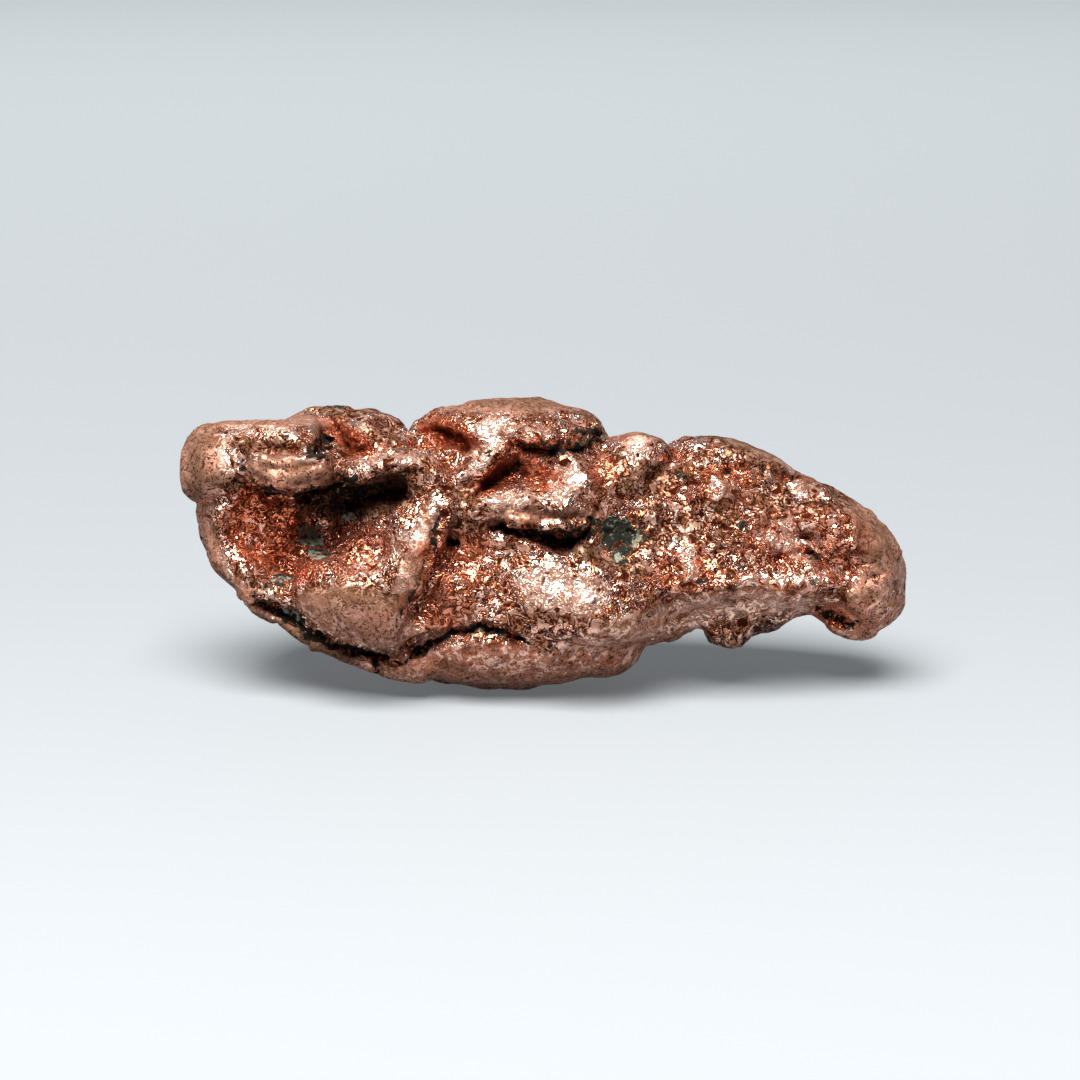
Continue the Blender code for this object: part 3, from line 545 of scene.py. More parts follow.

# Where patina darkens it; two patches are painted shade, under the rim's crack and in the throat
# under the arch.
DARK = (
    (FRONT, -33.8, 25.4, 2.4, 1.6, 0, 0.6),
    (FRONT, 32.6, 17.8, 3.6, 1.2, -42, 0.7),
    (FRONT, -1.0, 28.8, 6.4, 0.8, 0, 0.8),
    # painted shade under the rim's crack
    (FRONT, -23.6, 5.0, 6.6, 0.8, -27, 0.8),
    (FRONT, -29.6, 24.9, 3.4, 0.5, 0, 0.7),
    (FRONT, -20.2, 27.2, 1.6, 1.0, -30, 0.8),
    (FRONT, -27.6, 12.2, 1.8, 1.0, -30, 0.6),
    (FRONT, -18.0, 9.4, 6.0, 1.4, -10, 0.6),
    (FRONT, 13.0, 25.6, 3.0, 0.9, 0, 0.8),
    (FRONT, 22.6, 24.2, 3.6, 0.8, -24, 0.8),
    (FRONT, 29.6, 20.2, 3.0, 0.8, -36, 0.8),
    (FRONT, 19.6, 25.2, 5.0, 1.2, -16, 0.9),
    (FRONT, -13.2, 12.6, 1.0, 2.2, -20, 0.7),
    (FRONT, -18.6, 9.9, 3.6, 0.8, 0, 0.8),
    (FRONT, -27.6, 10.2, 2.8, 0.9, -35, 0.7),
    (FRONT, -33.2, 25.2, 1.4, 1.4, 0, 0.7),
    (FRONT, 4.6, 13.8, 1.8, 1.0, 0, 1.0),
    (FRONT, 8.6, 12.4, 2.6, 0.8, -10, 0.9),
    (FRONT, 11.2, 15.2, 1.6, 1.8, 0, 0.8),
    (FRONT, 0.4, 17.6, 5.0, 0.6, 0, 0.6),
    (FRONT, 17.6, 25.8, 4.0, 0.9, -8, 0.6),
    (FRONT, 24.0, 22.4, 4.0, 0.7, -28, 0.5),
    (FRONT, -15.6, 10.6, 3.4, 0.7, 14, 0.7),
    (FRONT, -13.6, 12.8, 1.0, 1.6, -20, 0.5),
    (FRONT, 32.2, 12.6, 1.2, 1.0, 0, 0.6),
    (FRONT, -25.0, 21.8, 4.0, 1.2, -6, 0.5),
    (FRONT, -24.6, 22.1, 2.0, 0.45, 8, 0.9),
    (FRONT, -19.2, 24.7, 1.9, 1.0, -45, 1.0),
    (FRONT, -8.6, 25.0, 2.8, 1.0, -30, 1.0),
    (FRONT, -4.4, 21.3, 3.0, 0.9, 36, 1.0),
    (FRONT, 0.2, 24.3, 2.8, 0.7, 0, 0.9),
    (FRONT, -34.8, 22.4, 1.4, 4.0, 0, 0.6),
    (FRONT, -31.8, 11.2, 3.2, 1.0, -50, 0.6),
    (FRONT, -27.0, 24.4, 4.6, 0.9, 0, 1.0),
    (FRONT, -31.6, 21.0, 2.6, 0.8, 0, 0.7),
    # painted shade in the throat under the arch
    (FRONT, -17.6, 18.9, 5.4, 1.9, 8, 1.0),
    (FRONT, -14.0, 21.6, 4.4, 1.0, -4, 0.7),
    (FRONT, -18.4, 9.6, 5.0, 1.0, -6, 0.7),
    (FRONT, -13.8, 26.4, 1.6, 1.4, 0, 0.5),
    (FRONT, 10.6, 21.2, 3.8, 1.8, 10, 0.9),
    (FRONT, 22.4, 23.2, 5.0, 1.2, -20, 0.7),
    (FRONT, 27.4, 18.2, 4.0, 0.9, 0, 0.8),
    (FRONT, 33.4, 15.2, 2.2, 2.8, 30, 0.7),
    (FRONT, 31.4, 9.6, 3.0, 0.8, 0, 0.6),
    (FRONT, 1.6, 7.2, 6.0, 0.8, -6, 0.6),
    (FRONT, 4.4, 26.4, 2.4, 1.4, -30, 0.6),
    (FRONT, -7.6, 16.6, 1.6, 2.4, 0, 0.6),
    (FRONT, -7.4, 19.8, 1.6, 1.6, 0, 0.9),
    (FRONT, 13.0, 16.6, 3.8, 2.2, 0, 0.8),
    (FRONT, 19.6, 18.0, 4.6, 1.4, 0, 0.6),
    (FRONT, 7.8, 23.4, 1.6, 0.9, 0, 0.9),
    (FRONT, -4.2, 14.6, 2.0, 0.8, 0, 0.8),
    (FRONT, 5.6, 12.9, 2.4, 0.8, -8, 0.7),
    (FRONT, -17.6, 27.6, 3.4, 1.0, -10, 0.8),
    (FRONT, -16.0, 26.0, 2.4, 1.2, -30, 0.7),
    (FRONT, -12.6, 20.0, 1.0, 1.6, 0, 0.5),
    (FRONT, -14.6, 9.2, 3.4, 0.8, 10, 0.8),
    (FRONT, 22.4, 19.2, 3.0, 1.0, 0, 0.8),
    (FRONT, 17.2, 23.3, 2.0, 0.6, 0, 0.8),
    (FRONT, -12.6, 9.4, 1.0, 2.2, -20, 0.5),
    (BACK, -27.0, 16.4, 4.0, 2.4, 0, 0.7),
    (BACK, -12.0, 11.4, 4.0, 1.6, -10, 0.8),
    (BACK, -7.0, 18.0, 5.0, 1.8, 6, 0.8),
    (BACK, 4.6, 18.6, 3.4, 1.6, 0, 0.7),
    (BACK, 18.6, 17.0, 4.0, 1.4, -10, 0.8),
    (BACK, 27.6, 14.0, 3.4, 2.0, 0, 0.6),
    (BACK, -20.0, 21.0, 5.0, 1.2, 0, 0.6),
    (BACK, 2.0, 9.0, 3.0, 1.8, 0, 0.6),
    (TOP, -10.6, 2.0, 1.6, 5.0, 0, 0.7),
    (TOP, 9.4, 2.0, 2.0, 5.0, 0, 0.7),
    (TOP, 27.0, 1.0, 3.0, 3.0, 0, 0.6),
    (TOP, -20.0, 3.0, 3.0, 4.0, 0, 0.6),
    (UNDER, -22.0, 0.0, 4.0, 5.0, 0, 0.6),
    (UNDER, 20.0, 0.0, 5.0, 3.4, 0, 0.6),
)

# Painted shade: black along the cracks, in the hole beside the tongue, under the tongue and the
# cap, in the throat and round the slot, beyond what the cracks themselves blacken.
PAINTED_SHADE_BLACK = (
    (FRONT, -26.4, 7.8, 3.4, 0.5, -32, 0.8),
    (FRONT, -22.6, 5.5, 2.8, 0.5, -30, 0.85),
    (FRONT, -18.0, 3.9, 3.2, 0.4, -10, 0.8),
    (FRONT, -16.3, 2.4, 0.35, 1.0, 0, 0.8),
    (FRONT, -11.6, 4.2, 2.8, 0.4, 34, 0.85),
    (FRONT, -7.6, 6.0, 1.8, 0.35, 10, 0.7),
    (FRONT, -29.3, 21.9, 1.4, 0.35, -50, 0.7),
    (FRONT, -26.6, 20.0, 2.0, 0.4, -16, 0.75),
    (FRONT, -23.0, 19.9, 2.0, 0.4, 12, 0.8),
    (FRONT, -18.8, 19.2, 4.0, 1.2, 14, 0.55),
    (FRONT, -21.6, 24.6, 0.9, 1.0, 0, 1.0),
    (FRONT, -22.7, 24.0, 0.6, 0.4, 0, 0.8),
    (FRONT, -20.7, 20.4, 2.4, 0.35, 24, 1.0),
    (FRONT, -3.2, 21.6, 2.4, 0.5, 40, 0.4),
    (FRONT, 29.4, 7.4, 1.6, 0.7, -20, 0.5),
    (FRONT, 1.4, 24.6, 2.4, 0.5, 10, 0.5),
    (FRONT, 0.0, 15.6, 4.8, 0.6, -5, 0.6),
    (FRONT, 3.8, 15.6, 1.2, 1.1, 0, 0.7),
    (BACK, -19.4, 13.8, 3.0, 0.6, 0, 0.6),
    (BACK, 10.4, 9.6, 3.0, 0.6, 8, 0.6),
    (BACK, -2.6, 21.2, 4.4, 0.6, -4, 0.6),
)

# Remnants of the rock that it grew in.
ROCK = (
    (FRONT, 8.0, 15.2, 1.9, 2.0, 0, 1.0),
    (FRONT, 7.2, 16.6, 1.8, 0.6, 0, 0.9),
    (FRONT, 9.8, 15.4, 1.0, 0.8, 0, 0.8),
    (FRONT, 5.4, 16.5, 1.2, 0.6, 0, 0.8),
    (FRONT, 8.4, 13.0, 1.0, 0.6, 0, 0.75),
    (FRONT, -23.0, 15.4, 1.2, 1.3, 0, 0.8),
    (FRONT, -22.2, 13.6, 1.2, 0.5, 0, 0.7),
    (FRONT, -18.9, 17.4, 1.0, 0.5, 0, 0.8),
    (FRONT, -26.0, 10.8, 1.5, 0.55, 8, 0.8),
    (FRONT, 4.8, 24.6, 1.9, 0.5, 24, 0.85),
    (FRONT, 1.4, 24.0, 0.9, 0.8, 0, 0.85),
    (FRONT, -24.9, 7.7, 1.6, 0.45, -28, 0.85),
    (FRONT, -27.6, 9.0, 0.8, 0.3, -20, 0.75),
    (FRONT, -5.8, 6.1, 3.0, 0.5, -8, 0.7),
    (FRONT, 20.3, 16.3, 0.5, 0.5, 0, 0.8),
    (FRONT, 14.2, 21.6, 0.8, 0.6, 0, 0.6),
    (FRONT, -5.0, 23.7, 0.35, 0.35, 0, 0.9),
    (FRONT, 0.6, 4.2, 1.6, 0.6, -20, 0.5),
    (FRONT, 16.2, 11.0, 0.6, 0.6, 0, 0.6),
    (BACK, -14.6, 15.6, 1.8, 1.0, 20, 0.9),
    (BACK, -22.0, 14.6, 1.2, 0.7, 0, 0.8),
    (BACK, 14.0, 11.0, 1.8, 0.8, 20, 0.9),
    (BACK, -4.6, 13.0, 1.3, 1.1, 0, 0.9),
    (BACK, 2.0, 20.6, 1.6, 0.6, 0, 0.8),
    (BACK, 25.0, 16.8, 1.0, 0.6, 0, 0.7),
    (UNDER, 10.8, 2.4, 1.4, 0.8, 0, 0.8),
    (TOP, -20.6, 3.0, 0.9, 1.4, 0, 0.7),
    (TOP, 9.0, 4.0, 0.8, 1.4, 0, 0.7),
)

# Pale grains in the rock.
PALE = (
    (FRONT, 9.9, 15.2, 0.5, 0.45, 0, 1.0),
    (FRONT, 7.8, 13.3, 0.4, 0.35, 0, 1.0),
    (FRONT, 9.5, 14.4, 0.3, 0.35, 0, 1.0),
    (FRONT, -23.0, 15.4, 1.3, 1.2, 0, 0.8),
    (FRONT, -22.4, 13.4, 0.7, 0.3, 0, 0.9),
    (FRONT, -18.9, 17.3, 0.8, 0.3, 0, 0.9),
    (FRONT, -26.0, 10.9, 1.0, 0.3, 8, 0.8),
    (FRONT, -24.9, 7.8, 1.2, 0.3, -28, 0.8),
    (FRONT, 6.0, 25.2, 0.6, 0.3, 24, 0.7),
    (BACK, -14.2, 15.8, 0.6, 0.4, 0, 0.9),
    (BACK, -4.4, 13.4, 0.5, 0.4, 0, 0.9),
    (BACK, 14.6, 11.2, 0.6, 0.3, 0, 0.9),
)


# --- meshes -------------------------------------------------------------------------------------


def evaluated(mesh, modifiers):
    """The mesh after a stack of modifiers, each given as (type, settings)."""
    obj = bpy.data.objects.new("work", mesh)
    bpy.context.scene.collection.objects.link(obj)
    for kind, settings in modifiers:
        modifier = obj.modifiers.new(kind, kind)
        for key, value in settings.items():
            setattr(modifier, key, value)
    graph = bpy.context.evaluated_depsgraph_get()
    result = bpy.data.meshes.new_from_object(obj.evaluated_get(graph))
    bpy.data.objects.remove(obj)
    return result


def read(collection, name):
    values = np.empty(len(collection) * 3, np.float32)
    collection.foreach_get(name, values)
    return values.reshape(-1, 3).astype(float)


def coordinates(mesh):
    return read(mesh.vertices, "co")


def normals(mesh):
    return read(mesh.vertex_normals, "vector")


def move(mesh, co):
    mesh.vertices.foreach_set("co", co.astype(np.float32).ravel())
    mesh.update()


def softened(mesh, times):
    """The vertices' places after so many rounds of smoothing."""
    return coordinates(evaluated(mesh.copy(), [("SMOOTH", {"factor": 0.5, "iterations": times})]))


# --- fields over the vertices -------------------------------------------------------------------


def ramp(values, low, high):
    t = np.clip((values - low) / (high - low), 0.0, 1.0)
    return t * t * (3 - 2 * t)


def bumps(co, size, seed, stretch=(1, 1, 1)):
    """Gradient noise from about -1 to 1, with features of this size in mm."""
    shift = Vector((seed * 13.7, seed * 7.3, seed * 3.1))
    return np.array([noise.noise(Vector(p) + shift) for p in co / (size * np.array(stretch))])


def nearest(co, size, seed):
    """The distance, in cells of this size in mm, to the nearest of some scattered points."""
    shift = Vector((seed * 5.9, seed * 11.3, seed * 2.7))
    return np.array([noise.voronoi(Vector(p) + shift)[0][0] for p in co / size])


def smooth_path(points):
    """A Catmull-Rom curve through the given points, each (across, up, half width)."""
    p = np.array(points, float)
    p = np.vstack([2 * p[0] - p[1], p, 2 * p[-1] - p[-2]])
    out = []
    for a, b, c, d in zip(p, p[1:], p[2:], p[3:]):
        count = max(2, int(np.linalg.norm(c[:2] - b[:2]) / PATH_STEP))
        for t in np.arange(count) / count:
            square = 2 * a - 5 * b + 4 * c - d
            cube = 3 * b - a - 3 * c + d
            out.append(0.5 * (2 * b + (c - a) * t + square * t**2 + cube * t**3))
    out.append(p[-2])
    return np.array(out)


def seen(mesh, co):
    """1 at each vertex that the eye can see, else 0."""
    tree = BVHTree.FromPolygons([v.co for v in mesh.vertices], [p.vertices for p in mesh.polygons])
    found = np.zeros(len(co))
    for index, point in enumerate(co):
        ray = Vector(point) - EYE
        distance = tree.ray_cast(EYE, ray.normalized())[3]
        if distance is not None and distance > ray.length - SEEN_DEPTH:
            found[index] = 1.0
    return found


class Sides:
    """For each side, where the vertices lie as it is looked at, and how much they belong to it."""

    def __init__(self, mesh):
        co, no = coordinates(mesh), normals(mesh)
        (broad, far), (fine, near) = WANDER_BROAD, WANDER_FINE
        self.wander = np.stack(
            [bumps(co, broad, s) * far + bumps(co, fine, s + 1) * near for s in WANDER_SEEDS], 1
        )
        depth = EYE.y / (EYE.y - co[:, 1])
        sight = np.stack([co[:, 0] * depth, EYE.z + (co[:, 2] - EYE.z) * depth], 1)
        self.places = {
            FRONT: (sight, seen(mesh, co)),
            BACK: (co[:, [0, 2]], ramp(no[:, 1], 0.0, 0.35)),
            TOP: (co[:, [0, 1]], ramp(no[:, 2], 0.1, 0.45)),
            UNDER: (co[:, [0, 1]], ramp(-no[:, 2], 0.1, 0.45)),
        }

    def stroke(self, side, path, ragged=1.0, edge=1.0):
        """From 0 at a stroke's border to 1, which it reaches at this share of the half width."""
        flat, weight = self.places[side]
        flat = flat + self.wander * ragged
        points = smooth_path(path)
        widest = points[:, 2].max()
        low, high = points[:, :2].min(0) - widest, points[:, :2].max(0) + widest
        near = np.flatnonzero(((flat > low) & (flat < high)).all(1) & (weight > 0))
        gap = np.linalg.norm(flat[near, None] - points[None, :, :2], axis=2)
        closest = gap.argmin(1)
        width = np.maximum(points[closest, 2], THINNEST)
        found = np.zeros(len(flat))
        found[near] = ramp(1 - gap[np.arange(len(near)), closest] / width, 0.0, edge) * weight[near]
        return found

    def patch(self, side, across, up, length, height, turn, soft=0.5):
        """From 0 outside a turned oval to 1 in its middle."""
        flat, weight = self.places[side]
        away = flat + self.wander - (across, up)
        c, s = math.cos(math.radians(turn)), math.sin(math.radians(turn))
        along = (away[:, 0] * c + away[:, 1] * s) / length
        over = (away[:, 1] * c - away[:, 0] * s) / height
        return ramp(PATCH_REACH - np.hypot(along, over), 0.0, soft) * weight

    def patches(self, table):
        """The strongest of a table's patches at each vertex."""
        found = np.zeros(len(self.places[FRONT][1]))
        for side, across, up, length, height, turn, strength in table:
            found = np.maximum(found, self.patch(side, across, up, length, height, turn) * strength)
        return found


# --- the skin -----------------------------------------------------------------------------------


def close_copy():
    """The solid's mesh in the face frame, rounded off and remeshed fine."""
    solid = frame["nodes"][NODE].data.copy()
    solid.materials.clear()
    solid.transform(TO_FACE)
    return evaluated(
        solid,
        [
            ("WELD", {"merge_threshold": 0.0001}),
            ("SUBSURF", {"levels": 2}),
            ("REMESH", {"mode": "VOXEL", "voxel_size": FIRST_VOXEL, "adaptivity": 0.0}),
            ("SMOOTH", {"factor": 0.5, "iterations": FIRST_SMOOTH}),
        ],
    )


def pressed(sides, count, most=math.inf):
    """How deep the cracks and pits go at each vertex, with no depth counted above the most."""
    found = np.zeros(count)
    for side, path, depth in CRACKS:
        found = np.maximum(found, sides.stroke(side, path, CRACK_RAGGED) * min(most, depth))
    for side, across, up, radius, depth in PITS:
        spot = ((across, up, radius), (across + 0.01, up, radius))
        found = np.maximum(found, sides.stroke(side, spot) * min(most, depth))
    return found


def carved(mesh):
    """Cracks and pits pressed in, folds and mounds raised, then the skin remeshed."""
    sides = Sides(mesh)
    co, no = coordinates(mesh), normals(mesh)
    press = pressed(sides, len(co))
    lift = np.zeros(len(co))
    for side, path, height in FOLDS:
        lift += sides.stroke(side, path) * height
    for side, path, height in FLAPS:
        lift += sides.stroke(side, path, FLAP_RAGGED, FLAP_EDGE) * height
    for side, *patch, height in MOUNDS:
        lift += sides.patch(side, *patch, soft=MOUND_SOFT) * height
    move(mesh, co + no * (lift - press)[:, None])
    return evaluated(
        mesh,
        [
            ("REMESH", {"mode": "VOXEL", "voxel_size": SKIN_VOXEL, "adaptivity": 0.0}),
            ("SMOOTH", {"factor": 0.5, "iterations": SKIN_SMOOTH}),
        ],
    )


def masks(mesh, sides):
    """The share, 0 to 1, of each kind of surface at each vertex."""
    co, no = coordinates(mesh), normals(mesh)
    broad = ((softened(mesh, BROAD_ROUNDS) - co) * no).sum(1)
    close = ((softened(mesh, CLOSE_ROUNDS) - co) * no).sum(1)
    crack = pressed(sides, len(co), 1.0)
    patina = ramp(bumps(co, *PATINA_BROAD) + 0.5 * bumps(co, *PATINA_FINE), 0.1, 0.9) * 0.6
    return {
        "smooth": sides.patches(SMOOTH),
        "coarse": sides.patches(COARSE),
        # hollowness, large and small; it reddens the metal as painted shade
        "hollow": np.clip(ramp(broad, 0.02, 0.5) * 0.8 + ramp(close, 0.01, 0.12) * 0.4, 0, 1),
        "red": sides.patches(REDDISH),
        "dark": np.maximum(sides.patches(DARK), patina),
        "rock": sides.patches(ROCK),
        # black in the cracks and in the patches of painted shade
        "crack": np.maximum(crack, sides.patches(PAINTED_SHADE_BLACK)),
        "pale": sides.patches(PALE),
        # patches of painted highlight
        "painted_highlight": sides.patches(PAINTED_HIGHLIGHT),
    }


def grained(mesh, mask):
    """Lumps, crinkles and small pits raised and pressed along the normals."""
    co, no = coordinates(mesh), normals(mesh)
    rough = (1 - 0.85 * mask["smooth"]) * (1 - 0.3 * mask["painted_highlight"])
    rough = rough * (0.5 + 0.6 * mask["hollow"] + 0.7 * mask["coarse"])
    size, height, seed = LUMPS
    lumps = bumps(co, size, seed) * height
    size, height, seed = CRINKLE
    crinkle = (np.abs(bumps(co, size, seed, CRINKLE_STRETCH)) - CRINKLE_LEVEL) * height
    size, height, seed = FINE_CRINKLE
    crinkle = crinkle + bumps(co, size, seed) * height
    size, height, seed = HOLES
    picked = ramp(bumps(co, *HOLE_GROUPS), -0.2, 0.3)
    holes = -ramp(HOLE_RADIUS - nearest(co, size, seed), 0.0, 0.3) * picked * height
    size, height, seed = CRUST
    crust = mask["rock"] * (bumps(co, size, seed) * height + CRUST_RISE)
    lift = lumps * (1 - 0.7 * mask["smooth"]) + (crinkle + holes) * rough
    lift += crust
    lift += SKIN_RISE
    move(mesh, co + no * lift[:, None])


def thinned(mesh):
    triangles = sum(len(p.vertices) - 2 for p in mesh.polygons)
    ratio = min(1.0, SKIN_TRIANGLES / triangles)
    return evaluated(mesh, [("DECIMATE", {"ratio": ratio, "use_collapse_triangulate": True})])


def eased_in(co, low, high):
    """The points held inside a box, the outermost ones pressed back little by little."""
    for room, sign in ((co - low, 1), (high - co, -1)):
        eased = np.where(room < EASE, EASE * np.exp(room / EASE - 1), room)
        co = co + sign * (eased - room)
    return co


def stored(mesh, name, channels):
    """Up to three masks kept as the red, green and blue of a point colour."""
    layer = mesh.color_attributes.new(name, "FLOAT_COLOR", "POINT")
    values = np.ones((len(channels[0]), 4), np.float32)
    values[:, : len(channels)] = np.stack(channels, 1)
    layer.data.foreach_set("color", values.ravel())


def skin():
    """The one piece of the scene, which takes the solid's place."""
    mesh = carved(close_copy())
    mask = masks(mesh, Sides(mesh))
    grained(mesh, mask)
    # the hollows' painted shade, oxide red, and patina with a few patches of painted shade
    stored(mesh, "shade_oxide_patina", (mask["hollow"], mask["red"], mask["dark"]))
    stored(mesh, "marks", (mask["rock"], mask["crack"], mask["smooth"]))
    # the grains attribute carries the pale grains and the painted highlight
    stored(mesh, "grains", (mask["pale"], mask["painted_highlight"]))
    mesh = thinned(mesh)
    mesh.transform(TO_ROW)
    move(mesh, eased_in(coordinates(mesh), *np.array(CAD_BOX)))
    mesh.shade_smooth()
    piece = bpy.data.objects.new("copper_skin", mesh)
    bpy.context.scene.collection.objects.link(piece)
    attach(piece, "root")
    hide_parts(NODE)
    return piece


# --- materials ----------------------------------------------------------------------------------


class Shader:
    """A material's node tree, built a node at a time."""

    def __init__(self, name):
        self.material = bpy.data.materials.new(name)
        self.material.use_nodes = True
        self.tree = self.material.node_tree
        self.surface = self.tree.nodes["Principled BSDF"]

    def node(self, kind, inputs=(), **settings):
        made = self.tree.nodes.new(kind)
        for key, value in settings.items():
            setattr(made, key, value)
        for key, value in dict(inputs).items():
            self.put(made.inputs[key], value)
        return made

    def put(self, socket, value):
        """A link from another node's socket, or else a plain value."""
        if isinstance(value, bpy.types.NodeSocket):
            self.tree.links.new(value, socket)
        else:
            socket.default_value = value

    def math(self, operation, *values, clamp=False):
        made = self.node("ShaderNodeMath", operation=operation, use_clamp=clamp)
        for socket, value in zip(made.inputs, values):
            self.put(socket, value)
        return made.outputs[0]

    def spread(self, value, low, high, start=0.0, end=1.0):
        """The value eased from start at the low end to end at the high one."""
        made = self.node("ShaderNodeMapRange", interpolation_type="SMOOTHSTEP")
        for socket, item in zip(made.inputs, (value, low, high, start, end)):
            self.put(socket, item)
        return made.outputs[0]

    def mix(self, share, first, second):
        made = self.node("ShaderNodeMix", data_type="RGBA")
        self.put(made.inputs[0], share)
        self.put(made.inputs[6], first)
        self.put(made.inputs[7], second)
        return made.outputs[2]

    def noise(self, place, scale, detail, roughness, distortion):
        inputs = {"Vector": place, "Scale": scale, "Detail": detail}
        inputs |= {"Roughness": roughness, "Distortion": distortion}
        return self.node("ShaderNodeTexNoise", inputs).outputs["Fac"]

    def apart(self, value, middle):
        return self.math("ABSOLUTE", self.math("SUBTRACT", value, middle))

    def product(self, *values):
        found = values[0]
        for value in values[1:]:
            found = self.math("MULTIPLY", found, value)
        return found

    def highest(self, *values):
        found = values[0]
        for value in values[1:]:
            found = self.math("MAXIMUM", found, value)
        return found

    def frayed(self, mask, speck):
        """The mask with its border broken up, and still nothing where the mask is nothing."""
        return self.math("MULTIPLY_ADD", speck, self.spread(mask, 0.0, 0.3), mask)

    def attribute(self, name):
        made = self.node("ShaderNodeAttribute", attribute_name=name)
        return self.node("ShaderNodeSeparateColor", {0: made.outputs["Color"]}).outputs


# The metal's colours, from its open skin to its hollows, whose red is partly painted shade for
# light bounced between copper walls.
COPPER_PALE = (0.86, 0.52, 0.41, 1)
COPPER_WARM = (0.66, 0.315, 0.215, 1)
COPPER_LOW = (0.37, 0.122, 0.054, 1)
COPPER_MATTE = (0.34, 0.162, 0.11, 1)
COPPER_RED = (0.70, 0.182, 0.082, 1)
# paler copper for painted highlights
COPPER_PAINTED_HIGHLIGHT = (0.94, 0.625, 0.49, 1)
# What lies on it: patina, the brown of creases, which is partly painted shade, flecks, rock and
# pale grains, and black for the cracks' dark fill and for painted shade in cracks and recesses.
PATINA = (0.085, 0.045, 0.022, 1)
PATINA_RED = (0.095, 0.012, 0.005, 1)
# the creases' brown: patina with painted shade
CREASE = (0.020, 0.0034, 0.0010, 1)
CREASE_WARM = (0.052, 0.0078, 0.0022, 1)
FLECK = (0.030, 0.011, 0.006, 1)
STONE = (0.011, 0.012, 0.009, 1)
STONE_LIGHT = (0.085, 0.085, 0.060, 1)
STONE_GRAIN = (0.15, 0.15, 0.113, 1)
# black for the cracks' dark fill and for painted shade in cracks and recesses
CRACK_FILL_AND_SHADE_BLACK = (0.011, 0.009, 0.007, 1)

# Noises: features per metre, detail, roughness, distortion.
BLOTCHES = (380.0, 3.0, 0.6, 0.0)
GRAIN = (900.0, 3.0, 0.55, 0.8)
WRINKLES = (1400.0, 2.0, 0.6, 1.0)
FINE_GRAIN = (2400.0, 1.0, 0.5, 0.4)
DOTS = 800.0  # per metre
DOT_EDGE, DOT_CHOICE = (0.26, 0.14), (0.72, 0.76)
MIDDLE = 0.5  # of a noise, where its lines run
LINE_EDGE, CREASE_EDGE = (0.055, 0.025), (0.05, 0.02)  # off the middle
BROKEN = (0.44, 0.54)  # the fine grain that breaks lines up

MATTE_SHARE, RED_SHARE, PAINTED_HIGHLIGHT_SHARE = 0.85, 0.85, 0.7
ROUGHNESS, MATTE_ROUGHNESS, PAINTED_HIGHLIGHT_ROUGHNESS, DULL_ROUGHNESS = 0.13, 0.42, 0.1, 0.5
CRUST_ROUGHNESS = 0.9
DIELECTRIC_SHINE = 0.02  # keeps the dark parts dark under the lamp
BUMP, MATTE_BUMP, BUMP_DEPTH = 0.60, -0.25, 0.0004  # the depth in m


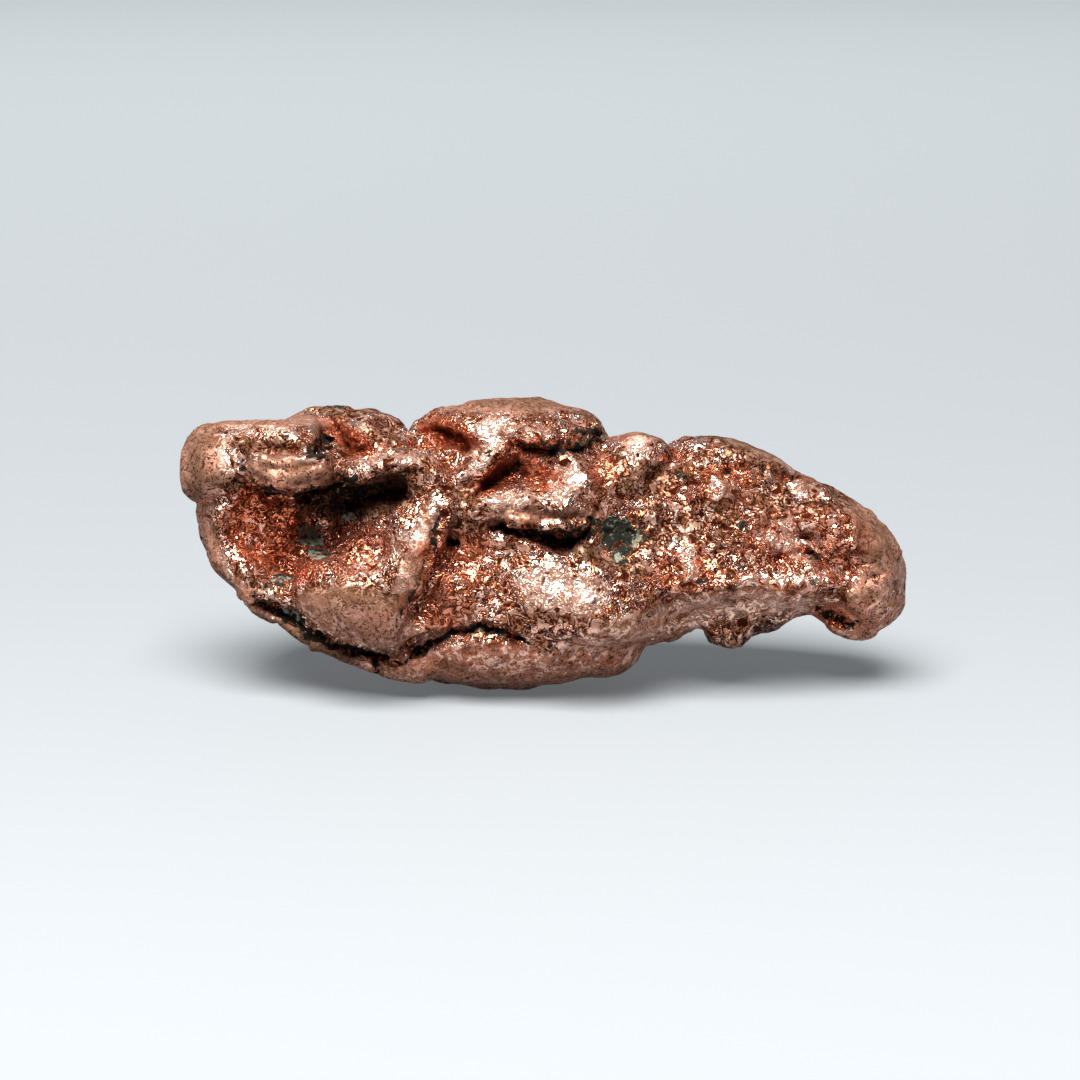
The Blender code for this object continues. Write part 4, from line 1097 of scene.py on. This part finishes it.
def copper():
    """Etched native copper, with what lies on it."""
    s = Shader("native_copper")
    hollow, red, dark = s.attribute("shade_oxide_patina")
    rock, crack, smooth = s.attribute("marks")
    pale, painted_highlight = s.attribute("grains")[:2]
    place = s.node("ShaderNodeTexCoord").outputs["Object"]

    grain, fine = s.noise(place, *GRAIN), s.noise(place, *FINE_GRAIN)
    blotch, wrinkle = s.noise(place, *BLOTCHES), s.noise(place, *WRINKLES)
    broken = s.spread(fine, *BROKEN)
    rough_part = s.math("MULTIPLY_ADD", smooth, -0.7, 1.0)
    lines = s.spread(s.apart(wrinkle, MIDDLE), *LINE_EDGE)
    crease = s.highest(s.product(lines, broken), s.spread(s.apart(grain, MIDDLE), *CREASE_EDGE))
    crease = s.product(crease, rough_part)
    speck = s.math("MULTIPLY_ADD", fine, 0.8, s.math("MULTIPLY", grain, 1.8))
    speck = s.math("MULTIPLY", s.math("SUBTRACT", speck, 1.3), 2.4)
    # the painted highlight's patches, their borders broken up
    painted_highlight = s.spread(s.frayed(painted_highlight, s.math("MULTIPLY", speck, 0.7)), 0.2, 1.0)
    # hollows, whose red is painted shade, and the oxide patches
    deep = s.highest(hollow, red)

    # bare metal, matte on the smooth parts, redder in the hollows as painted shade and with oxide,
    # paler as painted highlight
    tone = s.mix(s.spread(blotch, 0.35, 0.65), COPPER_PALE, COPPER_WARM)
    # darker, redder copper in the low grain: painted shade in the bump's lows
    tone = s.mix(s.spread(grain, 0.54, 0.40), tone, COPPER_LOW)
    tone = s.mix(s.math("MULTIPLY", smooth, MATTE_SHARE), tone, COPPER_MATTE)
    # red of the hollows as painted shade, and of the oxide
    tone = s.mix(s.math("MULTIPLY", deep, RED_SHARE), tone, COPPER_RED)
    # painted highlight: paler copper on its patches
    tone = s.mix(s.math("MULTIPLY", painted_highlight, PAINTED_HIGHLIGHT_SHARE), tone, COPPER_PAINTED_HIGHLIGHT)

    # patina in blotches, olive-brown in the open and deep red in the hollows; where the dark
    # patches stand for shade, these blotches are painted shade
    kept = s.math("MULTIPLY_ADD", painted_highlight, -0.15, 1.0)
    spots = s.spread(s.math("MULTIPLY_ADD", dark, 0.34, blotch), 0.56, 0.70)
    spots = s.product(spots, s.math("MULTIPLY_ADD", dark, 0.75, 0.15, clamp=True), kept)
    tone = s.mix(spots, tone, s.mix(red, PATINA, PATINA_RED))

    # brown in the creases and in the low grain: patina, with painted shade in the bump's grooves
    # and lows
    low = s.highest(s.product(s.spread(grain, 0.44, 0.36), rough_part), crease)
    low = s.math("MULTIPLY", low, kept, clamp=True)
    tone = s.mix(low, tone, s.mix(s.highest(deep, painted_highlight), CREASE, CREASE_WARM))

    # flecks and dots on the smooth parts, and dots elsewhere
    flecks = s.product(s.highest(lines, s.spread(wrinkle, 0.60, 0.66)), broken, smooth)
    dots = s.node("ShaderNodeTexVoronoi", {"Vector": place, "Scale": DOTS, "Randomness": 1.0})
    chosen = s.node("ShaderNodeSeparateColor", {0: dots.outputs["Color"]}).outputs[0]
    dot = s.product(s.spread(dots.outputs["Distance"], *DOT_EDGE), s.spread(chosen, *DOT_CHOICE))
    pit = s.highest(flecks, s.math("MULTIPLY", dot, 0.8))
    tone = s.mix(pit, tone, FLECK)

    # rock crust with its grains, and the black of cracks and recesses: their dark fill and painted
    # shade
    stone = s.mix(s.spread(fine, 0.56, 0.76), STONE, STONE_LIGHT)
    grains = s.spread(s.frayed(pale, speck), 0.35, 0.75)
    stone = s.mix(s.product(grains, s.spread(fine, 0.36, 0.56, 0.45, 1.0)), stone, STONE_GRAIN)
    crusted = s.spread(s.frayed(rock, speck), 0.40, 0.56)
    black = s.spread(s.frayed(crack, speck), 0.36, 0.62)
    tone = s.mix(black, s.mix(crusted, tone, stone), CRACK_FILL_AND_SHADE_BLACK)
    s.put(s.surface.inputs["Base Color"], tone)

    # only the clean parts shine as metal does
    covered = s.highest(crusted, black)
    dull = s.highest(s.math("MULTIPLY", spots, 0.6), low, pit)
    metal = s.math("SUBTRACT", 1.0, s.highest(covered, dull), clamp=True)
    s.put(s.surface.inputs["Metallic"], metal)
    shine = s.math("MULTIPLY_ADD", smooth, MATTE_ROUGHNESS, ROUGHNESS)
    shine = s.math("MULTIPLY_ADD", painted_highlight, PAINTED_HIGHLIGHT_ROUGHNESS, shine)
    shine = s.math("MULTIPLY_ADD", dull, DULL_ROUGHNESS, shine)
    shine = s.highest(shine, s.math("MULTIPLY", covered, CRUST_ROUGHNESS))
    s.put(s.surface.inputs["Roughness"], shine)
    s.surface.inputs["Specular IOR Level"].default_value = DIELECTRIC_SHINE

    height = s.math("MULTIPLY_ADD", fine, 0.35, grain)
    height = s.math("SUBTRACT", height, s.math("MULTIPLY", s.highest(crease, pit), 0.25))
    strength = s.math("MULTIPLY_ADD", smooth, MATTE_BUMP, BUMP, clamp=True)
    inputs = {"Strength": strength, "Distance": BUMP_DEPTH, "Height": height}
    s.put(s.surface.inputs["Normal"], s.node("ShaderNodeBump", inputs).outputs["Normal"])
    return s.material


# --- the set ------------------------------------------------------------------------------------

FLOOR_SIZE = 6.0
# Painted light and shade on the paper: paler before and far behind the object, darker just under
# it.
FLOOR_NEAR_PAINTED_LIGHT = (0.169, 0.177, 0.183, 1)
FLOOR_FAR_PAINTED_LIGHT = (0.34, 0.367, 0.383, 1)
FLOOR_PAINTED_SHADE = (0.142, 0.1505, 0.1565, 1)
FLOOR_SHADE_SPAN = (-0.09, 0.05)  # m behind the object's middle where painted shade darkens the paper
FLOOR_LIGHT_SPAN = (0.06, 0.9)  # and where painted light makes it paler
FLOOR_FILL = (0.112, 0.120, 0.126, 1)  # glow for a bright room's light, so no shadow goes black
FLOOR_ROUGHNESS = 0.7
LAMP_AT = (-0.12, -0.42, 0.95)  # m, aimed at the row frame's origin
LAMP_SIZE, LAMP_POWER = (0.8, 0.66), 56.0  # m and W
ROOM_COLOUR = (0.76, 0.82, 0.86, 1)
ROOM_TURN, ROOM_GLOW = (-0.5, 0.7), (0.055, 0.38)  # dim behind the camera, brighter at the back
CAMERA_LENS, SENSOR, CAMERA_REACH = 100.0, 36.0, (0.01, 20.0)  # mm, mm and m


def aimed(obj, at, towards):
    """The object placed in the scene and turned to look at a point."""
    obj.location = at
    obj.rotation_euler = (Vector(towards) - Vector(at)).to_track_quat("-Z", "Y").to_euler()
    bpy.context.scene.collection.objects.link(obj)


def floor():
    """A sheet of pale paper whose colour holds painted light and shade: darker just under the
    object, paler far behind it, with a faint glow that fills its shadows.
    """
    mesh = bpy.data.meshes.new("floor")
    half = FLOOR_SIZE / 2
    corners = [(-half, -half, 0), (half, -half, 0), (half, half, 0), (-half, half, 0)]
    mesh.from_pydata(corners, [], [(0, 1, 2, 3)])
    obj = bpy.data.objects.new("floor", mesh)
    bpy.context.scene.collection.objects.link(obj)
    s = Shader("floor_paper")
    place = s.node("ShaderNodeTexCoord").outputs["Object"]
    back = s.node("ShaderNodeSeparateXYZ", {0: place}).outputs["Y"]
    # painted shade under the object, then painted light far behind it
    paper = s.mix(s.spread(back, *FLOOR_SHADE_SPAN), FLOOR_NEAR_PAINTED_LIGHT, FLOOR_PAINTED_SHADE)
    s.put(s.surface.inputs["Base Color"], s.mix(s.spread(back, *FLOOR_LIGHT_SPAN), paper, FLOOR_FAR_PAINTED_LIGHT))
    s.surface.inputs["Roughness"].default_value = FLOOR_ROUGHNESS
    s.surface.inputs["Emission Color"].default_value = FLOOR_FILL
    s.surface.inputs["Emission Strength"].default_value = 1.0
    mesh.materials.append(s.material)


def lamp():
    """One wide soft light, high over the camera's side."""
    light = bpy.data.lights.new("overhead", "AREA")
    light.shape = "RECTANGLE"
    light.size, light.size_y = LAMP_SIZE
    light.energy = LAMP_POWER
    aimed(bpy.data.objects.new("overhead", light), LAMP_AT, (0, 0, 0))


def world():
    """A dim room, brighter towards its back."""
    made = bpy.data.worlds.new("studio")
    made.use_nodes = True
    tree = made.node_tree
    back = tree.nodes["Background"]
    back.inputs["Color"].default_value = ROOM_COLOUR
    towards = tree.nodes.new("ShaderNodeTexCoord")
    axes = tree.nodes.new("ShaderNodeSeparateXYZ")
    glow = tree.nodes.new("ShaderNodeMapRange")
    glow.interpolation_type = "SMOOTHSTEP"
    for socket, value in zip(list(glow.inputs)[1:5], ROOM_TURN + ROOM_GLOW):
        socket.default_value = value
    tree.links.new(towards.outputs["Generated"], axes.inputs[0])
    tree.links.new(axes.outputs["Y"], glow.inputs[0])
    tree.links.new(glow.outputs[0], back.inputs["Strength"])
    bpy.context.scene.world = made


def camera():
    """The photo's viewing angle: level with EYE in the leaned face frame."""
    data = bpy.data.cameras.new("camera")
    data.lens, data.sensor_width = CAMERA_LENS, SENSOR
    data.clip_start, data.clip_end = CAMERA_REACH
    obj = bpy.data.objects.new("camera", data)
    aimed(obj, TO_ROW @ EYE, TO_ROW @ Vector((0, 0, EYE.z)))
    bpy.context.scene.camera = obj


skin().data.materials.append(copper())
floor()
lamp()
world()
camera()
bpy.context.scene.view_settings.view_transform = "Standard"
